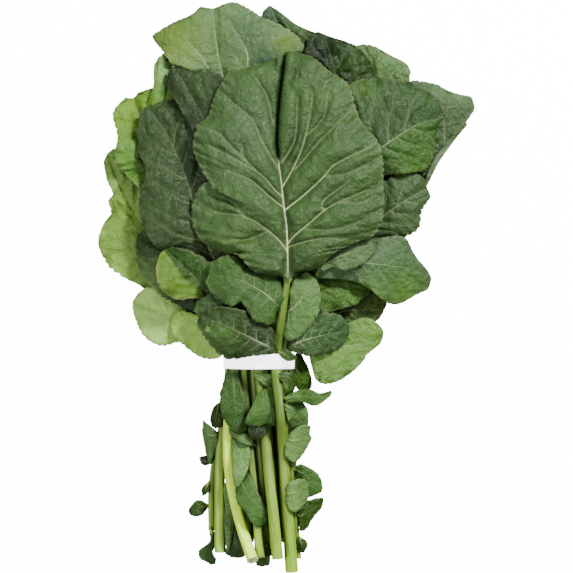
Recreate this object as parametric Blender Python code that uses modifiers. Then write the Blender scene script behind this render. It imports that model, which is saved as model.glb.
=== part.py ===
"""A bunch of turnip greens, lying on a table and held at the waist by a paper tie.

Each leaf is one solid: a round stalk from its cut end through the tie, a rib that thins towards the
tip, a thin waved blade on both sides of it, and small side lobes lower down the stalk. The leaves are
laid on one another from the lowest to the front one, and each is draped over what already lies there.

Plan positions are in millimetres: x to the right, y from the cut ends towards the tips, z up. The
origin is on the table, under the middle of the bunch.
"""

import math
from dataclasses import dataclass, field

import bmesh
import bpy
import numpy as np

MM = 0.001

# Paper tie
TIE_WIDTH = 12.0
TIE_THICKNESS = 0.8
TIE_CLEARANCE = 0.6
TIE_SIDES = 28

# Waist: the stalks stand in staggered rows inside the tie, whose flat underside lies on the table
WAIST_X = -21.0
WAIST_Y = -60.0
WAIST_STRAIGHT = 9.0
STALK_PITCH = 8.0
ROW_HEIGHT = 7.4
WAIST_RADIUS = 3.6
LOWEST_ROW = TIE_THICKNESS + TIE_CLEARANCE + WAIST_RADIUS

# Cut ends: the rows spread a little below the tie
CUT_ROW_HEIGHT = 8.0
CUT_LOWEST_ROW = 5.2
CUT_RADIUS = 4.5
STALK_STEP = 34.0

# Blades
BLADE_THICKNESS = 1.0
BASE_RADIUS = 2.3
TIP_RADIUS = 0.5
RIB_RIDGE = 0.9
RIB_LAG = 1.15
FOLD_REACH = 14.0
TOOTH = 1.1

# Draping
CELL = 1.0
LEAF_GAP = 2.2
STALK_GAP = 0.5
TIGHT_REACH = 6
DRAPE_REACH = 20
STIFF_REACH = 44
STALKS_END = -50.0
HEAD_START = -22.0
ROOT_ROOM = 6.0
LOBE_REACH = 6
BIG_LOBE_REACH = 14
LOBE_SAG = 8.0
ROOM_X = (-185.0, 185.0)
ROOM_Y = (-260.0, 260.0)

# Columns across the blade, from the left margin through the rib to the right one
NARROW = (-1.0, 0.0, 1.0)
PLAIN = (-1.0, -0.5, 0.0, 0.5, 1.0)
BROAD = (-1.0, -0.68, -0.3, 0.0, 0.3, 0.68, 1.0)
FULL = (-1.0, -0.76, -0.44, -0.14, 0.0, 0.14, 0.44, 0.76, 1.0)

DARK = (0.035, 0.085, 0.025)
BLUE = (0.03, 0.075, 0.035)
GREEN = (0.07, 0.16, 0.03)
PALE = (0.16, 0.27, 0.07)
YELLOW = (0.17, 0.26, 0.05)
PAPER = (0.86, 0.86, 0.83)


@dataclass
class Shape:
    """How a blade stands out of flat: all in millimetres, apart from the phase in turns."""

    arch: float = 6.0
    fold: float = 3.0
    camber: float = 8.0
    ruffle: float = 4.0
    wave: float = 46.0
    droop: float = 4.0
    phase: float = 0.0
    stiff: float = 0.35


@dataclass
class Lobe:
    """A side lobe or leaflet, rooted in its stalk where the stalk passes y = root."""

    root: float
    rib: list
    left: list
    right: list
    shape: Shape = field(default_factory=Shape)
    columns: tuple = NARROW
    rows: int = 5
    under: bool = False


@dataclass
class Leaf:
    """One leaf: its place at the waist, its cut end, and the plan of its rib and its two margins.

    The neck is where its stalk passes above the tie, and the shin where it passes below, both listed
    from the waist outwards.
    """

    name: str
    colour: tuple
    place: tuple
    cut: tuple
    rib: list
    left: list
    right: list
    neck: list = field(default_factory=list)
    shin: list = field(default_factory=list)
    shape: Shape = field(default_factory=Shape)
    columns: tuple = PLAIN
    rows: int = 12
    girth: float = 1.0
    lobes: list = field(default_factory=list)


def leaflet(root, start, tip, width, bow=0.0, **shape):
    """A small pointed leaflet from start to tip, width wide on each side, its rib bowed sideways."""
    start = np.array(start, float)
    tip = np.array(tip, float)
    heading = tip - start
    leftward = np.array([-heading[1], heading[0]]) / np.hypot(*heading)
    rib = [start, start + heading / 2 + leftward * bow, tip]

    def margin(side):
        points = [start + leftward * side * 1.2]
        for along, share in ((0.3, 0.9), (0.58, 1.0), (0.84, 0.55)):
            bulge = bow * 4 * along * (1 - along)
            points.append(start + heading * along + leftward * (side * width * share + bulge))
        points.append(tip + leftward * side * 0.8)
        return points

    relief = {"arch": 2.0, "fold": 1.0, "camber": 2.0, "ruffle": 1.2, "wave": 22.0, "droop": 3.0}
    relief.update(shape)
    return Lobe(root, rib, margin(1), margin(-1), Shape(**relief))


# The leaves, from the lowest to the front one. A place is a column and a row at the waist.
LEAVES = [
    Leaf(
        "leaf_back_right", PALE, (1.5, 0), (-5, -203),
        neck=[(3, -10), (26, 38)],
        rib=[(42, 82), (63, 126), (79, 158), (90, 181)],
        left=[(36, 86), (38, 126), (46, 162), (53, 186), (59, 193), (71, 192), (83, 185)],
        right=[(47, 82), (75, 106), (93, 135), (98, 156), (98, 169), (94, 177)],
        shape=Shape(arch=3, fold=1, camber=3, ruffle=3, wave=52, droop=0),
        girth=0.9,
    ),
    Leaf(
        "leaf_back_tip", PALE, (0.5, 0), (-15, -203),
        neck=[(-9, -2), (5, 54)],
        rib=[(11, 110), (11, 150), (3, 190), (-13, 225)],
        left=[(6, 111), (-11, 142), (-21, 174), (-23, 202), (-18, 220)],
        right=[(16, 111), (39, 138), (53, 167), (47, 194), (31, 200), (11, 208), (-5, 220)],
        shape=Shape(arch=3, fold=2, camber=3, ruffle=3, wave=48, droop=0, phase=0.3),
        girth=0.9,
    ),
    Leaf(
        "leaf_right_low_back", YELLOW, (2.5, 0), (5, -199),
        neck=[(15, -41)],
        rib=[(26, -28), (47, -20), (67, -14), (82, -10)],
        left=[(24, -22), (43, -10), (67, -2), (80, -8)],
        right=[(29, -33), (51, -31), (62, -27), (74, -25), (81, -15)],
        shape=Shape(arch=4, fold=1, camber=2, ruffle=2, wave=34, droop=2),
        rows=9, girth=0.8,
    ),
    Leaf(
        "leaf_outer_left", YELLOW, (-0.5, 0), (-30, -205),
        neck=[(-41, -38)],
        rib=[(-69, -10), (-97, 26), (-125, 66), (-143, 106)],
        left=[(-74, -12), (-97, -10), (-109, -6), (-118, 2), (-130, 10), (-142, 17), (-150, 33),
              (-146, 49), (-140, 58), (-142, 68), (-138, 73), (-143, 84), (-146, 99)],
        right=[(-64, -5), (-66, 30), (-77, 58), (-97, 86), (-117, 102), (-138, 110)],
        shape=Shape(arch=7, fold=2, camber=7, ruffle=5, wave=40, phase=0.1),
        columns=BROAD, rows=15,
    ),
    Leaf(
        "leaf_low_left", PALE, (-1.5, 0), (-59, -196),
        shin=[(-52, -120), (-59, -160)],
        neck=[(-43, -49)],
        rib=[(-59, -38), (-81, -30), (-101, -21), (-122, -12)],
        left=[(-64, -43), (-77, -46), (-86, -45), (-99, -48), (-111, -42), (-118, -28), (-122, -17)],
        right=[(-61, -31), (-78, -15), (-97, -6), (-109, -1), (-118, -6)],
        shape=Shape(arch=6, fold=2, camber=4, ruffle=3, wave=40, phase=0.5),
        rows=11, girth=0.6,
        lobes=[
            leaflet(-141, (-60, -142), (-69, -138), 4),
            leaflet(-156, (-62, -158), (-66, -168), 3),
            leaflet(-174, (-62, -176), (-76, -179), 6),
            Lobe(
                -190, rib=[(-60, -196), (-62, -209), (-58, -223)],
                left=[(-58, -198), (-58, -209), (-55, -218), (-56, -223)],
                right=[(-62, -198), (-63, -206), (-68, -211), (-62, -218), (-60, -223)],
                shape=Shape(arch=1, fold=1, camber=1, ruffle=1, wave=20, droop=2),
            ),
        ],
    ),
    Leaf(
        "leaf_far_right", BLUE, (1, 1), (-11, -207),
        neck=[(5, -18), (47, 30)],
        rib=[(83, 56), (111, 82), (131, 112), (150, 142)],
        left=[(78, 60), (74, 98), (82, 138), (96, 162), (118, 162), (131, 156), (147, 150)],
        right=[(86, 54), (113, 80), (133, 110), (150, 139)],
        shape=Shape(arch=10, fold=-1, camber=9, ruffle=2, wave=60, droop=4, stiff=0.6),
        columns=BROAD,
    ),
    Leaf(
        "leaf_right_shoulder", DARK, (2, 1), (-2, -204),
        neck=[(13, -22)],
        rib=[(48, 26), (71, 49), (91, 65), (113, 78)],
        left=[(43, 30), (53, 60), (79, 84), (99, 92), (111, 85)],
        right=[(53, 23), (74, 36), (94, 39), (106, 46), (109, 60), (116, 71)],
        shape=Shape(arch=8, fold=2, camber=6, ruffle=3, wave=44, phase=0.7),
        rows=11,
    ),
    Leaf(
        "leaf_low_right", PALE, (3, 1), (7, -190),
        rib=[(14, -44), (31, -50), (55, -47), (75, -41)],
        left=[(14, -39), (27, -36), (43, -33), (52, -30), (64, -26), (74, -35)],
        right=[(18, -50), (21, -65), (26, -74), (35, -76), (49, -70), (66, -54), (74, -46)],
        shape=Shape(arch=3, fold=1, camber=4, ruffle=2, wave=36, droop=6),
        rows=11, girth=0.85,
        lobes=[
            Lobe(
                -70, rib=[(8, -70), (13, -77), (15, -86)],
                left=[(8, -66), (14, -66), (20, -72), (21, -80), (17, -86)],
                right=[(6, -74), (8, -80), (12, -86)],
                shape=Shape(arch=2, fold=1, camber=1, ruffle=1, wave=20, droop=2),
            ),
        ],
    ),
    Leaf(
        "leaf_curled_left", YELLOW, (-1, 1), (-31, -203),
        neck=[(-37, -26)],
        rib=[(-63, 38), (-83, 78), (-107, 118), (-122, 150)],
        left=[(-69, 38), (-97, 56), (-117, 78), (-130, 92), (-136, 102), (-134, 118), (-138, 134),
              (-136, 142), (-128, 150)],
        right=[(-58, 42), (-62, 86), (-72, 126), (-83, 159), (-95, 184), (-104, 178), (-105, 169),
               (-101, 159), (-110, 157), (-118, 154)],
        shape=Shape(arch=6, fold=6, camber=-6, ruffle=5, wave=42, droop=0, phase=0.2),
        columns=BROAD, rows=14,
    ),
    Leaf(
        "leaf_top", PALE, (0, 1), (-19, -209),
        neck=[(-22, -2), (-29, 58)],
        rib=[(-35, 110), (-45, 146), (-54, 186), (-58, 223)],
        left=[(-40, 111), (-59, 140), (-72, 166), (-86, 171), (-98, 187), (-106, 199), (-93, 206),
              (-77, 215), (-68, 224)],
        right=[(-30, 113), (-6, 135), (10, 159), (17, 183), (10, 198), (-1, 207), (-18, 215),
               (-29, 222), (-41, 228), (-50, 226)],
        shape=Shape(arch=5, fold=3, camber=6, ruffle=4, wave=38, droop=2, phase=0.4),
        columns=BROAD, rows=13,
    ),
    Leaf(
        "leaf_mid_left", DARK, (-3, 1), (-52, -213),
        shin=[(-52, -138)],
        neck=[(-49, -42)],
        rib=[(-57, -17), (-77, 6), (-97, 28), (-116, 42)],
        left=[(-62, -17), (-85, -14), (-101, -6), (-115, 10), (-119, 30), (-118, 38)],
        right=[(-52, -12), (-57, 20), (-73, 39), (-93, 47), (-110, 45)],
        shape=Shape(arch=8, fold=2, camber=6, ruffle=4, wave=40, phase=0.6),
        rows=11,
        lobes=[
            Lobe(
                -92, rib=[(-53, -94), (-55, -104), (-56, -114)],
                left=[(-51, -96), (-50, -104), (-50, -112)],
                right=[(-55, -94), (-58, -98), (-60, -106), (-59, -112)],
                shape=Shape(arch=1, fold=1, camber=1, ruffle=1, wave=20, droop=2),
            ),
            Lobe(
                -118, rib=[(-55, -119), (-61, -119), (-66, -113)],
                left=[(-55, -123), (-58, -128), (-65, -134), (-66, -124), (-67, -115)],
                right=[(-56, -115), (-58, -113), (-62, -110), (-66, -107)],
                shape=Shape(arch=1, fold=1, camber=1, ruffle=1, wave=20, droop=2),
            ),
        ],
    ),
    Leaf(
        "leaf_low_left_front", PALE, (-2, 1), (-42, -196),
        rib=[(-46, -46), (-62, -41), (-78, -35), (-92, -30)],
        left=[(-47, -51), (-54, -58), (-66, -58), (-78, -50), (-88, -41), (-92, -35)],
        right=[(-46, -41), (-57, -29), (-73, -22), (-85, -19), (-91, -26)],
        shape=Shape(arch=3, fold=1, camber=3, ruffle=2, wave=30, droop=6),
        rows=9, girth=0.65,
        lobes=[
            Lobe(
                -188, rib=[(-41, -194), (-40, -206), (-38, -218)],
                left=[(-38, -196), (-34, -200), (-31, -208), (-33, -217)],
                right=[(-43, -197), (-45, -204), (-48, -213), (-43, -217)],
                shape=Shape(arch=1, fold=1, camber=1, ruffle=1, wave=20, droop=2),
            ),
        ],
    ),
    Leaf(
        "leaf_crinkled", DARK, (-0.5, 2), (-14, -215),
        neck=[(-8, -10), (11, 38)],
        rib=[(24, 86), (34, 130), (40, 166), (31, 201)],
        left=[(19, 87), (10, 122), (10, 158), (14, 183), (19, 199), (26, 203)],
        right=[(29, 87), (51, 114), (70, 142), (78, 164), (78, 174), (63, 187), (51, 194), (38, 198)],
        shape=Shape(arch=6, fold=3, camber=4, ruffle=5, wave=30, droop=0, phase=0.1),
        rows=14, girth=0.85,
        lobes=[
            Lobe(
                -200, rib=[(-15, -205), (-18, -216), (-23, -223)],
                left=[(-12, -207), (-12, -215), (-13, -222), (-19, -224)],
                right=[(-17, -208), (-20, -214), (-24, -219)],
                shape=Shape(arch=1, fold=1, camber=1, ruffle=1, wave=20, droop=2),
            ),
        ],
    ),
    Leaf(
        "leaf_right", GREEN, (0.5, 2), (-8, -208),
        neck=[(-1, -14), (21, 38)],
        rib=[(42, 82), (77, 110), (105, 128), (126, 134)],
        left=[(37, 87), (39, 118), (45, 150), (53, 162), (69, 166), (89, 163), (115, 154), (125, 140)],
        right=[(47, 78), (61, 81), (78, 87), (99, 90), (113, 94), (118, 110), (121, 128)],
        shape=Shape(arch=8, fold=-5, camber=10, ruffle=4, wave=36, droop=6, phase=0.5),
        columns=BROAD, rows=14, girth=0.9,
    ),
    Leaf(
        "leaf_right_folded", DARK, (1.5, 2), (0, -201),
        rib=[(6, -24), (18, -10), (39, -2), (68, -3)],
        left=[(1, -20), (2, 0), (12, 14), (28, 14), (47, 10), (64, 2)],
        right=[(9, -29), (21, -27), (35, -20), (47, -16), (59, -12), (67, -7)],
        shape=Shape(arch=5, fold=2, camber=4, ruffle=3, wave=30, droop=4, phase=0.3),
        rows=9, girth=0.8,
    ),
    Leaf(
        "leaf_right_low", BLUE, (2.5, 2), (9, -217),
        shin=[(2, -130), (5, -165)],
        neck=[(6, -26)],
        rib=[(26, 10), (47, 20), (64, 18), (95, 14), (114, 6)],
        left=[(26, 16), (35, 28), (51, 35), (74, 38), (94, 39), (103, 25), (112, 12)],
        right=[(30, 6), (47, 5), (63, 0), (78, -10), (89, -10), (102, -6), (110, -3)],
        shape=Shape(arch=6, fold=-2, camber=6, ruffle=3, wave=40, droop=6, phase=0.8),
        columns=BROAD, rows=12, girth=0.8,
        lobes=[
            Lobe(
                -50, rib=[(3, -49), (15, -43), (32, -39), (51, -36)],
                left=[(2, -46), (6, -39), (14, -30), (27, -22), (42, -23), (50, -31)],
                right=[(4, -52), (12, -54), (21, -56), (36, -52), (48, -45)],
                shape=Shape(arch=5, fold=1, camber=3, ruffle=2, wave=24, droop=4),
                columns=PLAIN, rows=7,
            ),
            Lobe(
                -144, rib=[(8, -147), (16, -151), (25, -157)],
                left=[(8, -144), (13, -142), (24, -148), (26, -154)],
                right=[(8, -150), (8, -156), (17, -168), (24, -163)],
                shape=Shape(arch=2, fold=1, camber=2, ruffle=1, wave=24, droop=3),
            ),
            Lobe(
                -180, rib=[(9, -182), (16, -180), (25, -174)],
                left=[(9, -178), (12, -173), (18, -171), (26, -170)],
                right=[(9, -185), (10, -192), (18, -188), (25, -179)],
                shape=Shape(arch=2, fold=1, camber=2, ruffle=1, wave=24, droop=3),
            ),
            leaflet(-197, (11, -200), (14, -212), 5),
        ],
    ),
    Leaf(
        "leaf_left_dark", BLUE, (-1.5, 2), (-20, -215),
        shin=[(-27, -140), (-22, -186)],
        neck=[(-40, -26)],
        rib=[(-51, 7), (-69, 50), (-78, 82), (-93, 118), (-109, 142)],
        left=[(-56, 9), (-70, 25), (-89, 30), (-102, 30), (-112, 46), (-116, 60), (-115, 74),
              (-111, 92), (-117, 106), (-118, 126), (-114, 142)],
        right=[(-46, 14), (-37, 38), (-35, 66), (-40, 92), (-51, 114), (-66, 135), (-85, 147),
               (-101, 146)],
        shape=Shape(arch=9, fold=4, camber=9, ruffle=3, wave=50, droop=4, phase=0.2),
        columns=BROAD, rows=17, girth=0.85,
    ),
    Leaf(
        "leaf_folded_left", GREEN, (-2.5, 2), (-26, -217),
        shin=[(-46, -114), (-45, -146), (-42, -170), (-36, -186)],
        neck=[(-43, -42)],
        rib=[(-51, -23), (-65, -2), (-81, 16), (-95, 29)],
        left=[(-56, -22), (-70, -10), (-86, -11), (-99, -2), (-102, 14), (-99, 26)],
        right=[(-46, -17), (-51, 6), (-62, 20), (-77, 28), (-90, 31)],
        shape=Shape(arch=5, fold=7, camber=-2, ruffle=3, wave=32, droop=2, phase=0.9),
        rows=11,
        lobes=[
            Lobe(
                -145, rib=[(-40, -146), (-27, -166), (-20, -191)],
                left=[(-37, -145), (-29, -149), (-22, -162), (-14, -180), (-15, -188)],
                right=[(-40, -150), (-37, -158), (-34, -170), (-29, -184), (-24, -191)],
                shape=Shape(arch=3, fold=2, camber=2, ruffle=1, wave=26, droop=3), rows=6,
            ),
            Lobe(
                -124, rib=[(-42, -126), (-36, -134), (-36, -148), (-39, -160)],
                left=[(-39, -124), (-30, -126), (-28, -134), (-30, -146), (-36, -158)],
                right=[(-43, -130), (-42, -138), (-42, -148), (-41, -157)],
                shape=Shape(arch=2, fold=1, camber=2, ruffle=1, wave=24, droop=3), rows=6,
            ),
            leaflet(-108, (-43, -110), (-23, -127), 4, bow=-2),
            Lobe(
                -70, rib=[(-42, -72), (-41, -90), (-39, -113)],
                left=[(-38, -71), (-36, -84), (-33, -98), (-32, -109)],
                right=[(-46, -71), (-50, -80), (-50, -92), (-50, -104), (-44, -112)],
                shape=Shape(arch=2, fold=1, camber=3, ruffle=2, wave=26, droop=3),
                columns=PLAIN, rows=7,
            ),
        ],
    ),
    Leaf(
        "leaf_left_shoulder", GREEN, (0, 3), (-6, -216),
        shin=[(-15, -118), (-14, -138), (-12, -162), (-9, -184)],
        neck=[(-19, -10)],
        rib=[(-19, 20), (-37, 70), (-57, 118), (-82, 164)],
        left=[(-24, 22), (-45, 42), (-61, 74), (-70, 108), (-74, 122), (-83, 140), (-94, 158)],
        right=[(-14, 25), (-10, 58), (-16, 102), (-30, 142), (-48, 164), (-63, 173), (-75, 168)],
        shape=Shape(arch=8, fold=3, camber=7, ruffle=3, wave=44, droop=4, phase=0.6),
        columns=BROAD, rows=15,
        lobes=[
            Lobe(
                -40, rib=[(-24, -38), (-38, -29), (-55, -20), (-71, -16)],
                left=[(-24, -43), (-36, -44), (-50, -38), (-64, -28), (-73, -20)],
                right=[(-19, -34), (-19, -14), (-32, -4), (-48, -3), (-62, -8), (-71, -13)],
                shape=Shape(arch=5, fold=2, camber=3, ruffle=3, wave=22, droop=5),
                columns=PLAIN, rows=8,
            ),
            leaflet(-104, (-18, -107), (-27, -122), 7),
            Lobe(
                -69, rib=[(-20, -71), (-15, -76), (-11, -83)],
                left=[(-16, -70), (-9, -71), (-10, -79)],
                right=[(-24, -70), (-27, -70), (-20, -76), (-14, -82)],
                shape=Shape(arch=2, fold=1, camber=1, ruffle=1, wave=24, droop=2),
            ),
            Lobe(
                -80, rib=[(-16, -83), (-13, -95), (-14, -109)],
                left=[(-11, -80), (-6, -83), (-1, -92), (-2, -104), (-9, -111)],
                right=[(-19, -82), (-24, -90), (-30, -102), (-31, -109), (-20, -111)],
                shape=Shape(arch=3, fold=1, camber=3, ruffle=1, wave=26, droop=3),
                columns=PLAIN, rows=7,
            ),
        ],
    ),
    Leaf(
        "leaf_main", DARK, (1.75, 3), (5, -227),
        shin=[(-5, -86), (-2, -114), (-1, -150), (2, -186)],
        neck=[(-4, -36), (-2, -14)],
        rib=[(2, 6), (2, 26), (1, 46), (-1, 60), (-3, 78), (-6, 108), (-4, 146), (1, 185)],
        left=[(-2, 7), (-24, 11), (-37, 24), (-50, 27), (-66, 35), (-74, 50), (-72, 70), (-66, 80),
              (-59, 84), (-67, 94), (-74, 111), (-70, 127), (-62, 135), (-56, 151), (-46, 166),
              (-29, 174), (-14, 178), (-4, 182)],
        right=[(6, 8), (11, 12), (26, 14), (39, 26), (55, 34), (72, 42), (78, 66), (78, 86),
               (77, 99), (73, 115), (62, 128), (55, 143), (50, 160), (35, 170), (21, 182), (6, 186)],
        shape=Shape(arch=12, fold=6, camber=12, ruffle=3, wave=48, droop=8, stiff=0.6),
        columns=FULL, rows=24, girth=1.1,
        lobes=[
            Lobe(
                -48, rib=[(-10, -50), (-28, -41), (-48, -31), (-68, -24)],
                left=[(-10, -54), (-26, -56), (-44, -58), (-55, -52), (-63, -42), (-70, -30)],
                right=[(-8, -47), (-8, -38), (-18, -27), (-34, -19), (-50, -16), (-62, -18)],
                shape=Shape(arch=5, fold=2, camber=3, ruffle=2, wave=26, droop=5),
                columns=PLAIN, rows=9, under=True,
            ),
            Lobe(
                -18, rib=[(-7, -16), (-20, -4), (-38, 5), (-61, 9)],
                left=[(-7, -21), (-11, -30), (-24, -27), (-35, -13), (-43, -16), (-57, -7), (-64, 3)],
                right=[(-4, -10), (-6, 12), (-24, 22), (-44, 25), (-60, 18)],
                shape=Shape(arch=5, fold=2, camber=4, ruffle=2, wave=30, droop=5),
                columns=PLAIN, rows=10, under=True,
            ),
            Lobe(
                -24, rib=[(0, -22), (9, -15), (16, -4), (20, 9)],
                left=[(1, -16), (3, -6), (7, 4), (16, 11)],
                right=[(-1, -28), (-2, -40), (4, -44), (14, -38), (25, -23), (28, -6), (24, 6)],
                shape=Shape(arch=4, fold=2, camber=3, ruffle=2, wave=26, droop=4),
                columns=PLAIN, rows=9, under=True,
            ),
            leaflet(-49, (-6, -51), (9, -55), 4),
            Lobe(
                -71, rib=[(-6, -72), (3, -73), (5, -80), (0, -88)],
                left=[(-5, -69), (3, -69), (9, -73), (8, -80), (3, -88)],
                right=[(-6, -75), (0, -76), (1, -82), (-2, -86)],
                shape=Shape(arch=2, fold=1, camber=1, ruffle=1, wave=24, droop=2), rows=6,
            ),
            Lobe(
                -92, rib=[(0, -94), (9, -102), (14, -113)],
                left=[(4, -92), (13, -92), (18, -100), (18, -110)],
                right=[(0, -98), (2, -106), (7, -115)],
                shape=Shape(arch=2, fold=1, camber=2, ruffle=1, wave=24, droop=3),
            ),
            Lobe(
                -88, rib=[(0, -89), (11, -87), (24, -89), (37, -85)],
                left=[(2, -86), (11, -82), (20, -82), (27, -85), (36, -83)],
                right=[(2, -92), (14, -92), (21, -95), (27, -94), (35, -88)],
                shape=Shape(arch=3, fold=1, camber=2, ruffle=1, wave=20, droop=4), rows=7,
            ),
            Lobe(
                -121, rib=[(2, -122), (10, -122), (19, -117)],
                left=[(2, -118), (6, -114), (14, -110), (20, -111)],
                right=[(0, -126), (0, -134), (7, -140), (15, -132), (21, -121)],
                shape=Shape(arch=3, fold=1, camber=2, ruffle=1, wave=24, droop=3),
            ),
            Lobe(
                -164, rib=[(1, -165), (9, -163), (18, -162)],
                left=[(0, -159), (5, -154), (14, -153), (19, -158)],
                right=[(0, -170), (4, -178), (12, -177), (19, -167)],
                shape=Shape(arch=3, fold=1, camber=2, ruffle=1, wave=24, droop=3),
            ),
        ],
    ),
]


def smooth_path(points, steps):
    """The points at these shares of the length of a smooth curve, and the curve's length."""
    points = np.array(points, float)
    ends = np.vstack([2 * points[0] - points[1], points, 2 * points[-1] - points[-2]])
    share = np.linspace(0, 1, 17)[:-1, None]
    dense = []
    for before, start, end, after in zip(ends, ends[1:], ends[2:], ends[3:]):
        slope = end - before
        curve = 2 * before - 5 * start + 4 * end - after
        twist = 3 * start - before - 3 * end + after
        dense.append(start + (slope * share + curve * share**2 + twist * share**3) / 2)
    dense = np.vstack(dense + [points[-1:]])
    pieces = np.linalg.norm(np.diff(dense, axis=0), axis=1)
    length = np.concatenate([[0], np.cumsum(pieces)])
    wanted = np.array(steps) * length[-1]
    return np.column_stack([np.interp(wanted, length, axis) for axis in dense.T]), length[-1]


@dataclass
class Sheet:
    """A loft of flat rings: the upper and lower points of each station, from the root to the tip.

    The first stations are a round stalk, which is lifted whole. Blade stations are free to bend.
    """

    top: np.ndarray
    bottom: np.ndarray
    middle: np.ndarray
    stalk_stations: int
    freedom: np.ndarray
    held: int = 0


def stalk_rings(path, radii, columns):
    """Round rings round a path, each with as many points above as below."""
    count = len(columns)
    heading = np.gradient(path[:, :2], axis=0)
    heading /= np.linalg.norm(heading, axis=1, keepdims=True)
    leftward = np.column_stack([-heading[:, 1], heading[:, 0]])
    angles = (np.arange(count) + 0.5) * math.pi / count
    across = radii[:, None] * np.cos(angles)
    height = radii[:, None] * np.sin(angles)
    plan = path[:, None, :2] + across[..., None] * leftward[:, None]
    top = np.dstack([plan, path[:, 2:3] + height])
    bottom = np.dstack([plan, path[:, 2:3] - height])
    return top, bottom


def relief(shape, along, columns, width, margin):
    """How far the blade stands above its stalk's end, for each station and column."""
    out = np.abs(columns)[None, :]
    side = np.sign(columns)[None, :]
    height = shape.arch * np.sin(math.pi * along) - shape.droop * along**2
    height = height + shape.fold * (1 - np.exp(-out * width / FOLD_REACH))
    height = height - shape.camber * out**2 * np.minimum(width / 60, 1.2)
    turns = margin / shape.wave + shape.phase + 0.37 * side
    waves = 0.7 * np.sin(math.tau * turns) + 0.3 * np.sin(math.tau * (2.1 * turns + 0.2))
    return height + shape.ruffle * out**2.2 * waves


def blade_rings(part, base_height, base_radius, columns, rows):
    """The blade's upper and lower points, station by station, and its rib's points."""
    steps = np.linspace(0, 1, rows)
    rib, _ = smooth_path(part.rib, steps**RIB_LAG)
    left, left_length = smooth_path(part.left, steps)
    right, right_length = smooth_path(part.right, steps)
    tooth = TOOTH * np.where(np.arange(rows) % 2, 1.0, -1.0)[:, None]
    tooth[[0, -1]] = 0
    for margin in (left, right):
        outward = margin - rib
        margin += tooth * outward / np.maximum(np.linalg.norm(outward, axis=1, keepdims=True), 1)
    columns = np.array(columns)
    on_left = columns[None, :] < 0
    margin = np.where(on_left[..., None], left[:, None], right[:, None])
    plan = rib[:, None] + np.abs(columns)[None, :, None] * (margin - rib[:, None])
    width = np.linalg.norm(margin - rib[:, None], axis=2)
    along_margin = steps[:, None] * np.where(on_left, left_length, right_length)
    height = base_height + relief(part.shape, steps[:, None], columns, width, along_margin)
    rib_radius = (TIP_RADIUS + (base_radius - TIP_RADIUS) * (1 - steps)) * RIB_RIDGE
    ridge = np.where(columns == 0, 1.0, 0.0)[None, :] * rib_radius[:, None]
    top = np.dstack([plan, height + BLADE_THICKNESS / 2])
    bottom = np.dstack([plan, height - BLADE_THICKNESS / 2 - ridge])
    return top, bottom, np.column_stack([rib, height[:, len(columns) // 2]])


def joined(stalk, radii, part, columns, rows, held=0):
    """One sheet of the stalk and the blade that it carries."""
    above, below = stalk_rings(stalk, radii, columns)
    top, bottom, middle = blade_rings(part, stalk[-1, 2], radii[-1], columns, rows)
    steps = np.linspace(0, 1, rows)
    freedom = np.concatenate([np.zeros(len(stalk)), np.clip(steps / 0.15, 0, 1)])
    return Sheet(
        np.vstack([above, top]), np.vstack([below, bottom]), np.vstack([stalk, middle]),
        len(stalk), freedom, held,
    )


def stalk_steps(points, low, high):
    """Shares of the stalk's length at its stations, with one at each end of the straight waist."""
    shares = np.linspace(0, 1, 401)
    path, length = smooth_path(points, shares)
    first = shares[np.argmax(path[:, 1] >= low)]
    second = shares[np.argmax(path[:, 1] >= high)]
    below = max(round(first * length / STALK_STEP), 3)
    above = max(round((1 - second) * length / STALK_STEP), 2)
    return np.concatenate([
        np.linspace(0, first, below + 1),
        np.linspace(second, 1, above + 1),
    ])


def leaf_sheet(leaf):
    column, row = leaf.place
    waist_x = WAIST_X + column * STALK_PITCH
    waist_z = LOWEST_ROW + row * ROW_HEIGHT
    cut_z = CUT_LOWEST_ROW + row * CUT_ROW_HEIGHT
    low_waist = (waist_x, WAIST_Y - WAIST_STRAIGHT, waist_z)
    waist = (waist_x, WAIST_Y, waist_z)
    high_waist = (waist_x, WAIST_Y + WAIST_STRAIGHT, waist_z)
    cut = np.array([*leaf.cut, cut_z])
    points = [cut]
    for x, y in reversed(leaf.shin):
        share = (low_waist[1] - y) / (low_waist[1] - cut[1])
        points.append((x, y, waist_z + (cut_z - waist_z) * share))
    points += [low_waist, waist, high_waist]
    points += [(x, y, waist_z) for x, y in leaf.neck]
    base = leaf.rib[0]
    heading = np.subtract(base, points[-1][:2])
    short = np.subtract(base, heading / np.hypot(*heading) * 4)
    points.append((*short, waist_z))
    path = smooth_path(points, stalk_steps(points, low_waist[1], high_waist[1]))[0]
    to_base = np.clip((path[:, 1] - high_waist[1]) / max(short[1] - high_waist[1], 25), 0, 1)
    to_cut = np.clip((low_waist[1] - path[:, 1]) / (low_waist[1] - cut[1]), 0, 1)
    radii = WAIST_RADIUS + (BASE_RADIUS - WAIST_RADIUS) * to_base + (CUT_RADIUS - WAIST_RADIUS) * to_cut
    return joined(path, radii * leaf.girth, leaf, leaf.columns, leaf.rows)


def lobe_sheet(lobe, leaf_shape):
    """A lobe whose root is sunk in the middle of its leaf's stalk."""
    stalk = leaf_shape.middle[: leaf_shape.stalk_stations]
    root = [np.interp(lobe.root, stalk[:, 1], axis) for axis in (stalk[:, 0], stalk[:, 1], stalk[:, 2])]
    first = np.array(lobe.rib[0], float)
    path = np.array([root, [*((first + root[:2]) / 2), root[2] + 1]])
    radii = np.array([1.6, 1.4])
    path[1, :2] = root[:2] + (first - root[:2]) * 0.6
    return joined(path, radii, lobe, lobe.columns, lobe.rows, held=2)


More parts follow.
